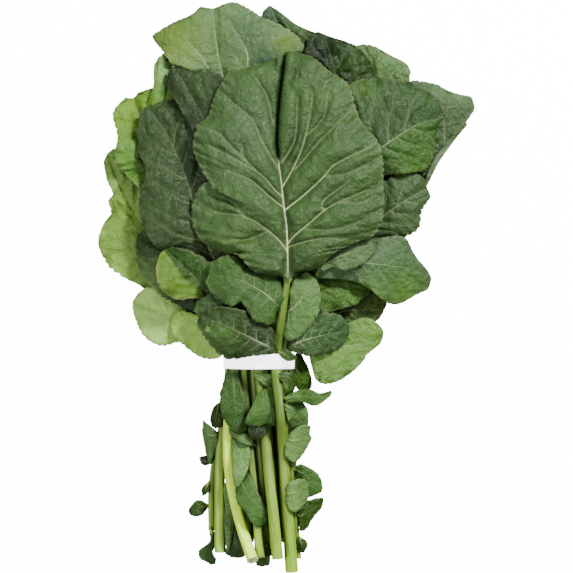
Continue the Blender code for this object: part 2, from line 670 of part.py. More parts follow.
class Pile:
    """The height of what is laid down so far, over a grid of small cells."""

    def __init__(self):
        self.columns = round((ROOM_X[1] - ROOM_X[0]) / CELL)
        self.rows = round((ROOM_Y[1] - ROOM_Y[0]) / CELL)
        self.tops = np.zeros((self.rows, self.columns))
        y = ROOM_Y[0] + (np.arange(self.rows) + 0.5) * CELL
        self.in_stalks = np.clip((HEAD_START - y) / (HEAD_START - STALKS_END), 0, 1)[:, None]
        self.gap = LEAF_GAP + (STALK_GAP - LEAF_GAP) * self.in_stalks

    def cells(self, points):
        column = np.floor((points[..., 0] - ROOM_X[0]) / CELL).astype(int)
        row = np.floor((points[..., 1] - ROOM_Y[0]) / CELL).astype(int)
        return np.clip(row, 0, self.rows - 1), np.clip(column, 0, self.columns - 1)

    def add(self, points):
        np.maximum.at(self.tops, self.cells(points), points[..., 2])

    def room_needed(self, points, share=1.0):
        """How far each point has to rise to clear what lies below it."""
        cells = self.cells(points)
        gap = np.broadcast_to(self.gap, self.tops.shape)[cells]
        floor = self.tops[cells] <= 0
        return self.tops[cells] + np.where(floor, 0.0, gap * share) - points[..., 2]

    def read(self, grid, points):
        """The grid's value at each point, between the middles of its cells."""
        x = np.clip((points[..., 0] - ROOM_X[0]) / CELL - 0.5, 0, self.columns - 1.001)
        y = np.clip((points[..., 1] - ROOM_Y[0]) / CELL - 0.5, 0, self.rows - 1.001)
        column = x.astype(int)
        row = y.astype(int)
        right = x - column
        up = y - row
        low = grid[row, column] * (1 - right) + grid[row, column + 1] * right
        high = grid[row + 1, column] * (1 - right) + grid[row + 1, column + 1] * right
        return low * (1 - up) + high * up


def shifted(grid, step, axis):
    """The grid moved by a number of cells, with its edge repeated."""
    index = np.clip(np.arange(grid.shape[axis]) - step, 0, grid.shape[axis] - 1)
    return np.take(grid, index, axis)


def widest(grid, reach):
    """The highest value within reach of each cell."""
    for axis in (0, 1):
        covered = 0
        while covered < reach:
            step = min(2 * covered + 1, reach - covered)
            grid = np.maximum(grid, np.maximum(shifted(grid, step, axis), shifted(grid, -step, axis)))
            covered += step
    return grid


def blurred(grid, reach):
    """The mean over the cells within half of reach, taken twice."""
    for half in (reach - reach // 2, reach // 2):
        for axis in (0, 1):
            size = grid.shape[axis]
            total = np.concatenate([np.take(grid, [0], axis) * 0, np.cumsum(grid, axis)], axis)
            high = np.clip(np.arange(size) + half + 1, 0, size)
            low = np.clip(np.arange(size) - half, 0, size)
            grid = (np.take(total, high, axis) - np.take(total, low, axis)) / (2 * half + 1)
    return grid


def envelope(need, reach):
    """A smooth surface that is nowhere below the need."""
    spread = widest(need, reach + 2)
    return blurred(np.where(np.isfinite(spread), spread, 0.0), reach)


def samples(surface, first, last):
    """Points spread over the triangles between two stations, as [station, column, a, b, xyz]."""
    patch = surface[first : last + 1]
    low = patch[:-1, :-1, None, None]
    right = patch[:-1, 1:, None, None]
    ahead = patch[1:, :-1, None, None]
    far = patch[1:, 1:, None, None]
    long_side = np.linalg.norm(np.diff(patch, axis=0)[..., :2], axis=2).max()
    wide_side = np.linalg.norm(np.diff(patch, axis=1)[..., :2], axis=2).max()
    a = np.linspace(0, 1, int(long_side / (0.8 * CELL)) + 2)[:, None, None]
    b = np.linspace(0, 1, int(wide_side / (0.8 * CELL)) + 2)[None, :, None]
    near_half = low + a * (ahead - low) + b * (right - low)
    far_half = far + (1 - a) * (right - far) + (1 - b) * (ahead - far)
    return np.where(a + b <= 1, near_half, far_half)


def stretches(sheet):
    """The sheet's stalk and its blade, as pairs of first and last station."""
    joint = sheet.stalk_stations - 1
    return [(0, joint), (joint, joint + 1), (joint + 1, len(sheet.top) - 1)]


def needed(sheet, pile, clear_of=None):
    """The room that the sheet's underside needs, cell by cell."""
    need = np.full(pile.tops.shape, -np.inf)
    for first, last in stretches(sheet):
        if last <= sheet.held - 1:
            continue
        points = samples(sheet.bottom, first, last).reshape(-1, 3)
        if clear_of is not None:
            points = points[np.hypot(*(points[:, :2] - clear_of[:2]).T) > clear_of[2]]
        np.maximum.at(need, pile.cells(points), pile.room_needed(points))
    return need


def raise_by(sheet, lift):
    sheet.top[..., 2] += lift
    sheet.bottom[..., 2] += lift
    sheet.middle[:, 2] += lift[:, lift.shape[1] // 2]


def lift_from(sheet, pile, rise):
    """The rise read at each blade point, and at the middle of the stalk's rings."""
    own = pile.read(rise, sheet.top)
    whole = pile.read(rise, sheet.middle)[:, None]
    freedom = sheet.freedom[:, None]
    lift = freedom * own + (1 - freedom) * whole
    lift[: sheet.held] = 0
    return lift


def clear_below(sheet, pile, clear_of=None):
    """Lifts the corners of each triangle that still comes too near what lies below it."""
    for _ in range(3):
        lift = np.zeros(sheet.top.shape[:2])
        for first, last in stretches(sheet):
            points = samples(sheet.bottom, first, last)
            short = pile.room_needed(points, 0.6)
            if clear_of is not None:
                near = np.hypot(points[..., 0] - clear_of[0], points[..., 1] - clear_of[1]) <= clear_of[2]
                short = np.where(near, -points[..., 2], short)
            short = np.maximum(short.max(axis=(2, 3)), 0)
            for ahead in (0, 1):
                for right in (0, 1):
                    part = lift[first + ahead : last + ahead, right : right + short.shape[1]]
                    np.maximum(part, short, out=part)
        lift[: sheet.stalk_stations] = lift[: sheet.stalk_stations].max(axis=1, keepdims=True)
        lift[: sheet.held] = 0
        raise_by(sheet, lift)


def drape(sheet, pile, stiff):
    """Lays a leaf over the pile: lifted where it has to be, and let down where there is room."""
    need = needed(sheet, pile)
    tight = envelope(need, TIGHT_REACH)
    soft = envelope(need, DRAPE_REACH)
    stiffer = envelope(need, STIFF_REACH)
    head = (1 - stiff) * soft + stiff * stiffer
    rise = pile.in_stalks * np.maximum(tight, 0) + (1 - pile.in_stalks) * head
    raise_by(sheet, lift_from(sheet, pile, rise))
    clear_below(sheet, pile)


def drape_lobe(sheet, pile):
    """Lays a lobe over the pile, with its root left in the stalk."""
    root = sheet.middle[0]
    clear_of = (root[0], root[1], ROOT_ROOM)
    need = needed(sheet, pile, clear_of)
    reach = LOBE_REACH if sheet.top.shape[1] == len(NARROW) else BIG_LOBE_REACH
    rise = np.maximum(envelope(need, reach), -LOBE_SAG)
    raise_by(sheet, lift_from(sheet, pile, rise))
    clear_below(sheet, pile, clear_of)


def add_to(pile, sheet):
    for first, last in stretches(sheet):
        pile.add(samples(sheet.top, first, last))


def lay_lobes(leaf, sheet, pile, under):
    """Lays those of a leaf's lobes that lie under its blade, or the others, and returns them."""
    laid = []
    for lobe in leaf.lobes:
        if lobe.under == under:
            laid.append(lobe_sheet(lobe, sheet))
            drape_lobe(laid[-1], pile)
            add_to(pile, laid[-1])
    return laid


def ride_over(sheet, lobes):
    """Lifts a leaf's blade over its own lobes, which lie under it."""
    below = Pile()
    for lobe in lobes:
        add_to(below, lobe)
    below.tops[below.tops <= 0] = -np.inf
    below.gap = np.full(below.tops.shape, LEAF_GAP)
    first = sheet.stalk_stations + 1
    points = samples(sheet.bottom, first, len(sheet.top) - 1).reshape(-1, 3)
    need = np.full(below.tops.shape, -np.inf)
    np.maximum.at(need, below.cells(points), below.room_needed(points))
    rise = np.maximum(envelope(need, LOBE_REACH), 0)
    lift = below.read(rise, sheet.top)
    lift[:first] = 0
    raise_by(sheet, lift)


def solid_mesh(name, sheet):
    """The closed surface of a sheet, its upper and lower faces split along the same diagonals."""
    stations, count = sheet.top.shape[:2]
    points = np.vstack([sheet.top.reshape(-1, 3), sheet.bottom.reshape(-1, 3)]) * MM
    upper = np.arange(stations * count).reshape(stations, count)
    lower = upper + stations * count
    near, right, ahead, far = upper[:-1, :-1], upper[:-1, 1:], upper[1:, :-1], upper[1:, 1:]
    faces = [np.dstack([near, right, ahead]), np.dstack([right, far, ahead])]
    near, right, ahead, far = lower[:-1, :-1], lower[:-1, 1:], lower[1:, :-1], lower[1:, 1:]
    faces += [np.dstack([near, ahead, right]), np.dstack([right, ahead, far])]
    faces = [tuple(face) for block in faces for face in block.reshape(-1, 3).tolist()]
    left_side = [upper[:-1, 0], upper[1:, 0], lower[1:, 0], lower[:-1, 0]]
    right_side = [upper[:-1, -1], lower[:-1, -1], lower[1:, -1], upper[1:, -1]]
    root = [upper[0, :-1], lower[0, :-1], lower[0, 1:], upper[0, 1:]]
    tip = [upper[-1, :-1], upper[-1, 1:], lower[-1, 1:], lower[-1, :-1]]
    for wall in (left_side, right_side, root, tip):
        for a, b, c, d in np.column_stack(wall).tolist():
            faces += [(a, b, c), (a, c, d)]
    mesh = bpy.data.meshes.new(name)
    mesh.from_pydata(points.tolist(), [], faces)
    mesh.update()
    return mesh


def add_object(name, mesh, collection):
    thing = bpy.data.objects.new(name, mesh)
    collection.objects.link(thing)
    return thing


def fuse(leaf_object, lobes):
    """Joins the lobes to their leaf in one solid, and removes them.

    The exact solver leaves slivers where the thin lobes run into the stalk, and this one doesn't.
    """
    if not lobes:
        return
    joints = bpy.data.collections.new(f"{leaf_object.name}_lobes")
    bpy.context.scene.collection.children.link(joints)
    for index, sheet in enumerate(lobes):
        name = f"{leaf_object.name}_lobe_{index}"
        add_object(name, solid_mesh(name, sheet), joints)
    union = leaf_object.modifiers.new("Join lobes", "BOOLEAN")
    union.operation = "UNION"
    union.operand_type = "COLLECTION"
    union.collection = joints
    union.solver = "MANIFOLD"
    bpy.context.view_layer.update()
    joined_mesh = bpy.data.meshes.new_from_object(
        leaf_object.evaluated_get(bpy.context.evaluated_depsgraph_get())
    )
    leaf_object.modifiers.clear()
    leaf_object.data = joined_mesh
    for thing in list(joints.objects):
        bpy.data.objects.remove(thing)
    bpy.data.collections.remove(joints)


def tie_outline(sheets):
    """The corners of a taut band round all the stalks at the waist, as x and z."""
    reach = TIE_WIDTH / 2 + 1
    inside = []
    for sheet in sheets:
        for surface in (sheet.top, sheet.bottom):
            points = samples(surface, 0, sheet.stalk_stations - 1).reshape(-1, 3)
            inside.append(points[np.abs(points[:, 1] - WAIST_Y) < reach][:, [0, 2]])
    inside = np.vstack(inside)
    angles = np.arange(TIE_SIDES) * math.tau / TIE_SIDES
    normals = np.column_stack([np.cos(angles), np.sin(angles)])
    support = (inside @ normals.T).max(axis=0) + TIE_CLEARANCE
    corners = []
    for index in range(TIE_SIDES):
        after = (index + 1) % TIE_SIDES
        lines = np.array([normals[index], normals[after]])
        corners.append(np.linalg.solve(lines, [support[index], support[after]]))
    return np.array(corners)


def add_tie(outline, collection):
    """The paper band: the outline drawn out along y, and thickened outwards."""
    band = bmesh.new()
    edges = []
    for y in (WAIST_Y - TIE_WIDTH / 2, WAIST_Y + TIE_WIDTH / 2):
        edges.append([band.verts.new((x * MM, y * MM, z * MM)) for x, z in outline])
    front, back = edges
    for index in range(len(outline)):
        after = (index + 1) % len(outline)
        band.faces.new((front[index], back[index], back[after], front[after]))
    mesh = bpy.data.meshes.new("paper_tie")
    band.to_mesh(mesh)
    band.free()
    tie = add_object("paper_tie", mesh, collection)
    thickness = tie.modifiers.new("Paper", "SOLIDIFY")
    thickness.thickness = TIE_THICKNESS * MM
    thickness.offset = 1
    thickness.use_even_offset = True
    return tie


def tie_top(outline):
    """Points over the tie's upper side, for what lies across it."""
    middle = outline.mean(axis=0)
    outer = outline + (outline - middle) / np.linalg.norm(outline - middle, axis=1)[:, None]
    closed = np.vstack([outer, outer[:1]])
    share = np.linspace(0, 1, 20)[:, None]
    ring = np.vstack([a + (b - a) * share for a, b in zip(closed, closed[1:])])
    across = np.arange(-TIE_WIDTH / 2, TIE_WIDTH / 2 + 0.1, 0.5) + WAIST_Y
    return np.array([(x, y, z) for y in across for x, z in ring])


def material(name, colour, roughness):
    made = bpy.data.materials.new(name)
    made.use_nodes = True
    shader = made.node_tree.nodes["Principled BSDF"]
    shader.inputs["Base Color"].default_value = (*colour, 1)
    shader.inputs["Roughness"].default_value = roughness
    made.diffuse_color = (*colour, 1)
    return made


def build():
    for thing in list(bpy.data.objects):
        bpy.data.objects.remove(thing)
    bunch = bpy.data.collections.new("turnip_greens")
    bpy.context.scene.collection.children.link(bunch)
    pile = Pile()
    made = []
    sheets = []
    for leaf in LEAVES:
        sheet = leaf_sheet(leaf)
        drape(sheet, pile, leaf.shape.stiff)
        sheets.append(sheet)
        if leaf is LEAVES[-1]:
            outline = tie_outline(sheets)
            pile.add(tie_top(outline))
        lobes = lay_lobes(leaf, sheet, pile, under=True)
        if lobes:
            ride_over(sheet, lobes)
        add_to(pile, sheet)
        lobes += lay_lobes(leaf, sheet, pile, under=False)
        made.append((leaf, sheet, lobes))
    for leaf, sheet, lobes in made:
        thing = add_object(leaf.name, solid_mesh(leaf.name, sheet), bunch)
        fuse(thing, lobes)
        thing.data.materials.clear()
        thing.data.materials.append(material(leaf.name, leaf.colour, 0.5))
        thing.data.shade_smooth()
    tie = add_tie(outline, bunch)
    tie.data.materials.append(material("paper_tie", PAPER, 0.6))


build()
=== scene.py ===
"""The looks of the bunch of turnip greens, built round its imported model.

Every leaf is laid down again by the rules that shaped its solid, from the same named values, and is
then drawn finely: toothed margins, puckered blades, raised veins, ribbed stalks and rolled edges.
Plan positions are in millimetres: x to the right, y from the cut ends towards the tips, z up.
"""

import math
from dataclasses import dataclass, field, replace

import bpy
import numpy as np
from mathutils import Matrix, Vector


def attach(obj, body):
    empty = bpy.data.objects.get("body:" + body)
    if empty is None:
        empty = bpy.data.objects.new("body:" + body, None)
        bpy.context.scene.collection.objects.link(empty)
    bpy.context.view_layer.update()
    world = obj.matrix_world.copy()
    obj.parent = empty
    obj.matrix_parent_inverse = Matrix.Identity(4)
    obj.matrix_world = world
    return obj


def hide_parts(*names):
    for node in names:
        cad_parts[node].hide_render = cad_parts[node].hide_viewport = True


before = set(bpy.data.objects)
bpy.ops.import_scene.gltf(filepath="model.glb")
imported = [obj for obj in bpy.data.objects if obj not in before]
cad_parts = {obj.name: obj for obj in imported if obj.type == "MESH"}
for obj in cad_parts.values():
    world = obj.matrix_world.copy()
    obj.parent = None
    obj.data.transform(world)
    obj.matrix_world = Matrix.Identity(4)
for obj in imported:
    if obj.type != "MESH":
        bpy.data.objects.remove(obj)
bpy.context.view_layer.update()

MM = 0.001

# Paper tie
TIE_WIDTH = 12.0
TIE_THICKNESS = 0.8
TIE_CLEARANCE = 0.6
TIE_SIDES = 28

# Waist: the stalks stand in staggered rows inside the tie, whose flat underside lies on the table
WAIST_X = -21.0
WAIST_Y = -60.0
WAIST_STRAIGHT = 9.0
STALK_PITCH = 8.0
ROW_HEIGHT = 7.4
WAIST_RADIUS = 3.6
LOWEST_ROW = TIE_THICKNESS + TIE_CLEARANCE + WAIST_RADIUS

# Cut ends: the rows spread a little below the tie
CUT_ROW_HEIGHT = 8.0
CUT_LOWEST_ROW = 5.2
CUT_RADIUS = 4.5
STALK_STEP = 34.0
STALK_END_GAP = 4
SHORTEST_NECK = 25

# Blades
BLADE_THICKNESS = 1.0
BASE_RADIUS = 2.3
TIP_RADIUS = 0.5
RIB_RIDGE = 0.9
RIB_LAG = 1.15
FOLD_REACH = 14.0
CAMBER_WIDTH = 60
FREE_AFTER = 0.15
TOOTH = 1.1
LOBE_NECK = 0.6
LOBE_RADII = np.array([1.6, 1.4])

# Draping
CELL = 1.0
SAMPLE_STEP = 0.8
CLEARING_ROUNDS = 3
CLEARED_SHARE = 0.6
LEAF_GAP = 2.2
STALK_GAP = 0.5
TIGHT_REACH = 6
DRAPE_REACH = 20
STIFF_REACH = 44
STALKS_END = -50.0
HEAD_START = -22.0
ROOT_ROOM = 6.0
LOBE_REACH = 6
BIG_LOBE_REACH = 14
LOBE_SAG = 8.0
ROOM_X = (-185.0, 185.0)
ROOM_Y = (-260.0, 260.0)

# Columns across the blade, from the left margin through the rib to the right one
NARROW = (-1.0, 0.0, 1.0)
PLAIN = (-1.0, -0.5, 0.0, 0.5, 1.0)
BROAD = (-1.0, -0.68, -0.3, 0.0, 0.3, 0.68, 1.0)
FULL = (-1.0, -0.76, -0.44, -0.14, 0.0, 0.14, 0.44, 0.76, 1.0)


@dataclass
class Shape:
    """How a blade stands out of flat: all in millimetres, apart from the phase in turns."""

    arch: float = 6.0
    fold: float = 3.0
    camber: float = 8.0
    ruffle: float = 4.0
    wave: float = 46.0
    droop: float = 4.0
    phase: float = 0.0
    stiff: float = 0.35


@dataclass
class Lobe:
    """A side lobe or leaflet, rooted in its stalk where the stalk passes y = root."""

    root: float
    rib: list
    left: list
    right: list
    shape: Shape = field(default_factory=Shape)
    columns: tuple = NARROW
    rows: int = 5
    under: bool = False


@dataclass
class Leaf:
    """One leaf: its place at the waist, its cut end, and the plan of its rib and its two margins.

    The tone tells the record's slot; it is not used here. The neck is where its stalk passes above the
    tie, and the shin where it passes below, both listed from the waist outwards.
    """

    name: str
    tone: str
    place: tuple
    cut: tuple
    rib: list
    left: list
    right: list
    neck: list = field(default_factory=list)
    shin: list = field(default_factory=list)
    shape: Shape = field(default_factory=Shape)
    columns: tuple = PLAIN
    rows: int = 12
    girth: float = 1.0
    lobes: list = field(default_factory=list)


def leaflet(root, start, tip, width, bow=0.0, **shape):
    """A small pointed leaflet from start to tip, width wide on each side, its rib bowed sideways."""
    start = np.array(start, float)
    tip = np.array(tip, float)
    heading = tip - start
    leftward = np.array([-heading[1], heading[0]]) / np.hypot(*heading)
    rib = [start, start + heading / 2 + leftward * bow, tip]

    def margin(side):
        points = [start + leftward * side * 1.2]
        for along, share in ((0.3, 0.9), (0.58, 1.0), (0.84, 0.55)):
            bulge = bow * 4 * along * (1 - along)
            points.append(start + heading * along + leftward * (side * width * share + bulge))
        points.append(tip + leftward * side * 0.8)
        return points

    relief = {"arch": 2.0, "fold": 1.0, "camber": 2.0, "ruffle": 1.2, "wave": 22.0, "droop": 3.0}
    relief.update(shape)
    return Lobe(root, rib, margin(1), margin(-1), Shape(**relief))


# Shapes that several small lobes share
TINY_LOBE = Shape(arch=1, fold=1, camber=1, ruffle=1, wave=20, droop=2)
FLAT_LOBE = Shape(arch=2, fold=1, camber=1, ruffle=1, wave=24, droop=2)
LOW_LOBE = Shape(arch=2, fold=1, camber=2, ruffle=1, wave=24, droop=3)
ARCHED_LOBE = Shape(arch=3, fold=1, camber=2, ruffle=1, wave=24, droop=3)

# The leaves, from the lowest to the front one. A place is a column and a row at the waist.
LEAVES = [
    Leaf(
        "leaf_back_right", "pale", (1.5, 0), (-5, -203),
        neck=[(3, -10), (26, 38)],
        rib=[(42, 82), (63, 126), (79, 158), (90, 181)],
        left=[(36, 86), (38, 126), (46, 162), (53, 186), (59, 193), (71, 192), (83, 185)],
        right=[(47, 82), (75, 106), (93, 135), (98, 156), (98, 169), (94, 177)],
        shape=Shape(arch=3, fold=1, camber=3, ruffle=3, wave=52, droop=0),
        girth=0.9,
    ),
    Leaf(
        "leaf_back_tip", "pale", (0.5, 0), (-15, -203),
        neck=[(-9, -2), (5, 54)],
        rib=[(11, 110), (11, 150), (3, 190), (-13, 225)],
        left=[(6, 111), (-11, 142), (-21, 174), (-23, 202), (-18, 220)],
        right=[(16, 111), (39, 138), (53, 167), (47, 194), (31, 200), (11, 208), (-5, 220)],
        shape=Shape(arch=3, fold=2, camber=3, ruffle=3, wave=48, droop=0, phase=0.3),
        girth=0.9,
    ),
    Leaf(
        "leaf_right_low_back", "yellow", (2.5, 0), (5, -199),
        neck=[(15, -41)],
        rib=[(26, -28), (47, -20), (67, -14), (82, -10)],
        left=[(24, -22), (43, -10), (67, -2), (80, -8)],
        right=[(29, -33), (51, -31), (62, -27), (74, -25), (81, -15)],
        shape=Shape(arch=4, fold=1, camber=2, ruffle=2, wave=34, droop=2),
        rows=9, girth=0.8,
    ),
    Leaf(
        "leaf_outer_left", "yellow", (-0.5, 0), (-30, -205),
        neck=[(-41, -38)],
        rib=[(-69, -10), (-97, 26), (-125, 66), (-143, 106)],
        left=[(-74, -12), (-97, -10), (-109, -6), (-118, 2), (-130, 10), (-142, 17), (-150, 33),
              (-146, 49), (-140, 58), (-142, 68), (-138, 73), (-143, 84), (-146, 99)],
        right=[(-64, -5), (-66, 30), (-77, 58), (-97, 86), (-117, 102), (-138, 110)],
        shape=Shape(arch=7, fold=2, camber=7, ruffle=5, wave=40, phase=0.1),
        columns=BROAD, rows=15,
    ),
    Leaf(
        "leaf_low_left", "pale", (-1.5, 0), (-59, -196),
        shin=[(-52, -120), (-59, -160)],
        neck=[(-43, -49)],
        rib=[(-59, -38), (-81, -30), (-101, -21), (-122, -12)],
        left=[(-64, -43), (-77, -46), (-86, -45), (-99, -48), (-111, -42), (-118, -28), (-122, -17)],
        right=[(-61, -31), (-78, -15), (-97, -6), (-109, -1), (-118, -6)],
        shape=Shape(arch=6, fold=2, camber=4, ruffle=3, wave=40, phase=0.5),
        rows=11, girth=0.6,
        lobes=[
            leaflet(-141, (-60, -142), (-69, -138), 4),
            leaflet(-156, (-62, -158), (-66, -168), 3),
            leaflet(-174, (-62, -176), (-76, -179), 6),
            Lobe(
                -190, rib=[(-60, -196), (-62, -209), (-58, -223)],
                left=[(-58, -198), (-58, -209), (-55, -218), (-56, -223)],
                right=[(-62, -198), (-63, -206), (-68, -211), (-62, -218), (-60, -223)],
                shape=TINY_LOBE,
            ),
        ],
    ),
    Leaf(
        "leaf_far_right", "blue", (1, 1), (-11, -207),
        neck=[(5, -18), (47, 30)],
        rib=[(83, 56), (111, 82), (131, 112), (150, 142)],
        left=[(78, 60), (74, 98), (82, 138), (96, 162), (118, 162), (131, 156), (147, 150)],
        right=[(86, 54), (113, 80), (133, 110), (150, 139)],
        shape=Shape(arch=10, fold=-1, camber=9, ruffle=2, wave=60, droop=4, stiff=0.6),
        columns=BROAD,
    ),
    Leaf(
        "leaf_right_shoulder", "dark", (2, 1), (-2, -204),
        neck=[(13, -22)],
        rib=[(48, 26), (71, 49), (91, 65), (113, 78)],
        left=[(43, 30), (53, 60), (79, 84), (99, 92), (111, 85)],
        right=[(53, 23), (74, 36), (94, 39), (106, 46), (109, 60), (116, 71)],
        shape=Shape(arch=8, fold=2, camber=6, ruffle=3, wave=44, phase=0.7),
        rows=11,
    ),
    Leaf(
        "leaf_low_right", "pale", (3, 1), (7, -190),
        rib=[(14, -44), (31, -50), (55, -47), (75, -41)],
        left=[(14, -39), (27, -36), (43, -33), (52, -30), (64, -26), (74, -35)],
        right=[(18, -50), (21, -65), (26, -74), (35, -76), (49, -70), (66, -54), (74, -46)],
        shape=Shape(arch=3, fold=1, camber=4, ruffle=2, wave=36, droop=6),
        rows=11, girth=0.85,
        lobes=[
            Lobe(
                -70, rib=[(8, -70), (13, -77), (15, -86)],
                left=[(8, -66), (14, -66), (20, -72), (21, -80), (17, -86)],
                right=[(6, -74), (8, -80), (12, -86)],
                shape=Shape(arch=2, fold=1, camber=1, ruffle=1, wave=20, droop=2),
            ),
        ],
    ),
    Leaf(
        "leaf_curled_left", "yellow", (-1, 1), (-31, -203),
        neck=[(-37, -26)],
        rib=[(-63, 38), (-83, 78), (-107, 118), (-122, 150)],
        left=[(-69, 38), (-97, 56), (-117, 78), (-130, 92), (-136, 102), (-134, 118), (-138, 134),
              (-136, 142), (-128, 150)],
        right=[(-58, 42), (-62, 86), (-72, 126), (-83, 159), (-95, 184), (-104, 178), (-105, 169),
               (-101, 159), (-110, 157), (-118, 154)],
        shape=Shape(arch=6, fold=6, camber=-6, ruffle=5, wave=42, droop=0, phase=0.2),
        columns=BROAD, rows=14,
    ),
    Leaf(
        "leaf_top", "pale", (0, 1), (-19, -209),
        neck=[(-22, -2), (-29, 58)],
        rib=[(-35, 110), (-45, 146), (-54, 186), (-58, 223)],
        left=[(-40, 111), (-59, 140), (-72, 166), (-86, 171), (-98, 187), (-106, 199), (-93, 206),
              (-77, 215), (-68, 224)],
        right=[(-30, 113), (-6, 135), (10, 159), (17, 183), (10, 198), (-1, 207), (-18, 215),
               (-29, 222), (-41, 228), (-50, 226)],
        shape=Shape(arch=5, fold=3, camber=6, ruffle=4, wave=38, droop=2, phase=0.4),
        columns=BROAD, rows=13,
    ),
    Leaf(
        "leaf_mid_left", "dark", (-3, 1), (-52, -213),
        shin=[(-52, -138)],
        neck=[(-49, -42)],
        rib=[(-57, -17), (-77, 6), (-97, 28), (-116, 42)],
        left=[(-62, -17), (-85, -14), (-101, -6), (-115, 10), (-119, 30), (-118, 38)],
        right=[(-52, -12), (-57, 20), (-73, 39), (-93, 47), (-110, 45)],
        shape=Shape(arch=8, fold=2, camber=6, ruffle=4, wave=40, phase=0.6),
        rows=11,
        lobes=[
            Lobe(
                -92, rib=[(-53, -94), (-55, -104), (-56, -114)],
                left=[(-51, -96), (-50, -104), (-50, -112)],
                right=[(-55, -94), (-58, -98), (-60, -106), (-59, -112)],
                shape=TINY_LOBE,
            ),
            Lobe(
                -118, rib=[(-55, -119), (-61, -119), (-66, -113)],
                left=[(-55, -123), (-58, -128), (-65, -134), (-66, -124), (-67, -115)],
                right=[(-56, -115), (-58, -113), (-62, -110), (-66, -107)],
                shape=TINY_LOBE,
            ),
        ],
    ),
    Leaf(
        "leaf_low_left_front", "pale", (-2, 1), (-42, -196),
        rib=[(-46, -46), (-62, -41), (-78, -35), (-92, -30)],
        left=[(-47, -51), (-54, -58), (-66, -58), (-78, -50), (-88, -41), (-92, -35)],
        right=[(-46, -41), (-57, -29), (-73, -22), (-85, -19), (-91, -26)],
        shape=Shape(arch=3, fold=1, camber=3, ruffle=2, wave=30, droop=6),
        rows=9, girth=0.65,
        lobes=[
            Lobe(
                -188, rib=[(-41, -194), (-40, -206), (-38, -218)],
                left=[(-38, -196), (-34, -200), (-31, -208), (-33, -217)],
                right=[(-43, -197), (-45, -204), (-48, -213), (-43, -217)],
                shape=TINY_LOBE,
            ),
            # A small leaflet between the stalks, which the solid does without
            leaflet(-150, (-42, -152), (-46, -211), 4.5),
        ],
    ),
    Leaf(
        "leaf_crinkled", "dark", (-0.5, 2), (-14, -215),
        neck=[(-8, -10), (11, 38)],
        rib=[(24, 86), (34, 130), (40, 166), (31, 201)],
        left=[(19, 87), (10, 122), (10, 158), (14, 183), (19, 199), (26, 203)],
        right=[(29, 87), (51, 114), (70, 142), (78, 164), (78, 174), (63, 187), (51, 194), (38, 198)],
        shape=Shape(arch=6, fold=3, camber=4, ruffle=5, wave=30, droop=0, phase=0.1),
        rows=14, girth=0.85,
        lobes=[
            Lobe(
                -200, rib=[(-15, -205), (-18, -216), (-23, -223)],
                left=[(-12, -207), (-12, -215), (-13, -222), (-19, -224)],
                right=[(-17, -208), (-20, -214), (-24, -219)],
                shape=TINY_LOBE,
            ),
        ],
    ),
    Leaf(
        "leaf_right", "green", (0.5, 2), (-8, -208),
        neck=[(-1, -14), (21, 38)],
        rib=[(42, 82), (77, 110), (105, 128), (126, 134)],
        left=[(37, 87), (39, 118), (45, 150), (53, 162), (69, 166), (89, 163), (115, 154), (125, 140)],
        right=[(47, 78), (61, 81), (78, 87), (99, 90), (113, 94), (118, 110), (121, 128)],
        shape=Shape(arch=8, fold=-5, camber=10, ruffle=4, wave=36, droop=6, phase=0.5),
        columns=BROAD, rows=14, girth=0.9,
    ),
    Leaf(
        "leaf_right_folded", "dark", (1.5, 2), (0, -201),
        rib=[(6, -24), (18, -10), (39, -2), (68, -3)],
        left=[(1, -20), (2, 0), (12, 14), (28, 14), (47, 10), (64, 2)],
        right=[(9, -29), (21, -27), (35, -20), (47, -16), (59, -12), (67, -7)],
        shape=Shape(arch=5, fold=2, camber=4, ruffle=3, wave=30, droop=4, phase=0.3),
        rows=9, girth=0.8,
    ),
    Leaf(
        "leaf_right_low", "blue", (2.5, 2), (9, -217),
        shin=[(2, -130), (5, -165)],
        neck=[(6, -26)],
        rib=[(26, 10), (47, 20), (64, 18), (95, 14), (114, 6)],
        left=[(26, 16), (35, 28), (51, 35), (74, 38), (94, 39), (103, 25), (112, 12)],
        right=[(30, 6), (47, 5), (63, 0), (78, -10), (89, -10), (102, -6), (110, -3)],
        shape=Shape(arch=6, fold=-2, camber=6, ruffle=3, wave=40, droop=6, phase=0.8),
        columns=BROAD, rows=12, girth=0.8,
        lobes=[
            Lobe(
                -50, rib=[(3, -49), (15, -43), (32, -39), (51, -36)],
                left=[(2, -46), (6, -39), (14, -30), (27, -22), (42, -23), (50, -31)],
                right=[(4, -52), (12, -54), (21, -56), (36, -52), (48, -45)],
                shape=Shape(arch=5, fold=1, camber=3, ruffle=2, wave=24, droop=4),
                columns=PLAIN, rows=7,
            ),
            Lobe(
                -144, rib=[(8, -147), (16, -151), (25, -157)],
                left=[(8, -144), (13, -142), (24, -148), (26, -154)],
                right=[(8, -150), (8, -156), (17, -168), (24, -163)],
                shape=LOW_LOBE,
            ),
            Lobe(
                -180, rib=[(9, -182), (16, -180), (25, -174)],
                left=[(9, -178), (12, -173), (18, -171), (26, -170)],
                right=[(9, -185), (10, -192), (18, -188), (25, -179)],
                shape=LOW_LOBE,
            ),
            leaflet(-197, (11, -200), (14, -212), 5),
            # A crumpled lobe that shows from under the main leaf, which the solid does without
            Lobe(
                4, rib=[(28, 15), (40, 22), (54, 27), (70, 33)],
                left=[(28, 18), (38, 30), (52, 36), (68, 37)],
                right=[(30, 12), (38, 14), (48, 12), (62, 18), (71, 27)],
                shape=Shape(arch=2, fold=-1, camber=2, ruffle=2, wave=18, droop=3),
                columns=PLAIN, rows=7,
            ),
        ],
    ),
    Leaf(
        "leaf_left_dark", "blue", (-1.5, 2), (-20, -215),
        shin=[(-27, -140), (-22, -186)],
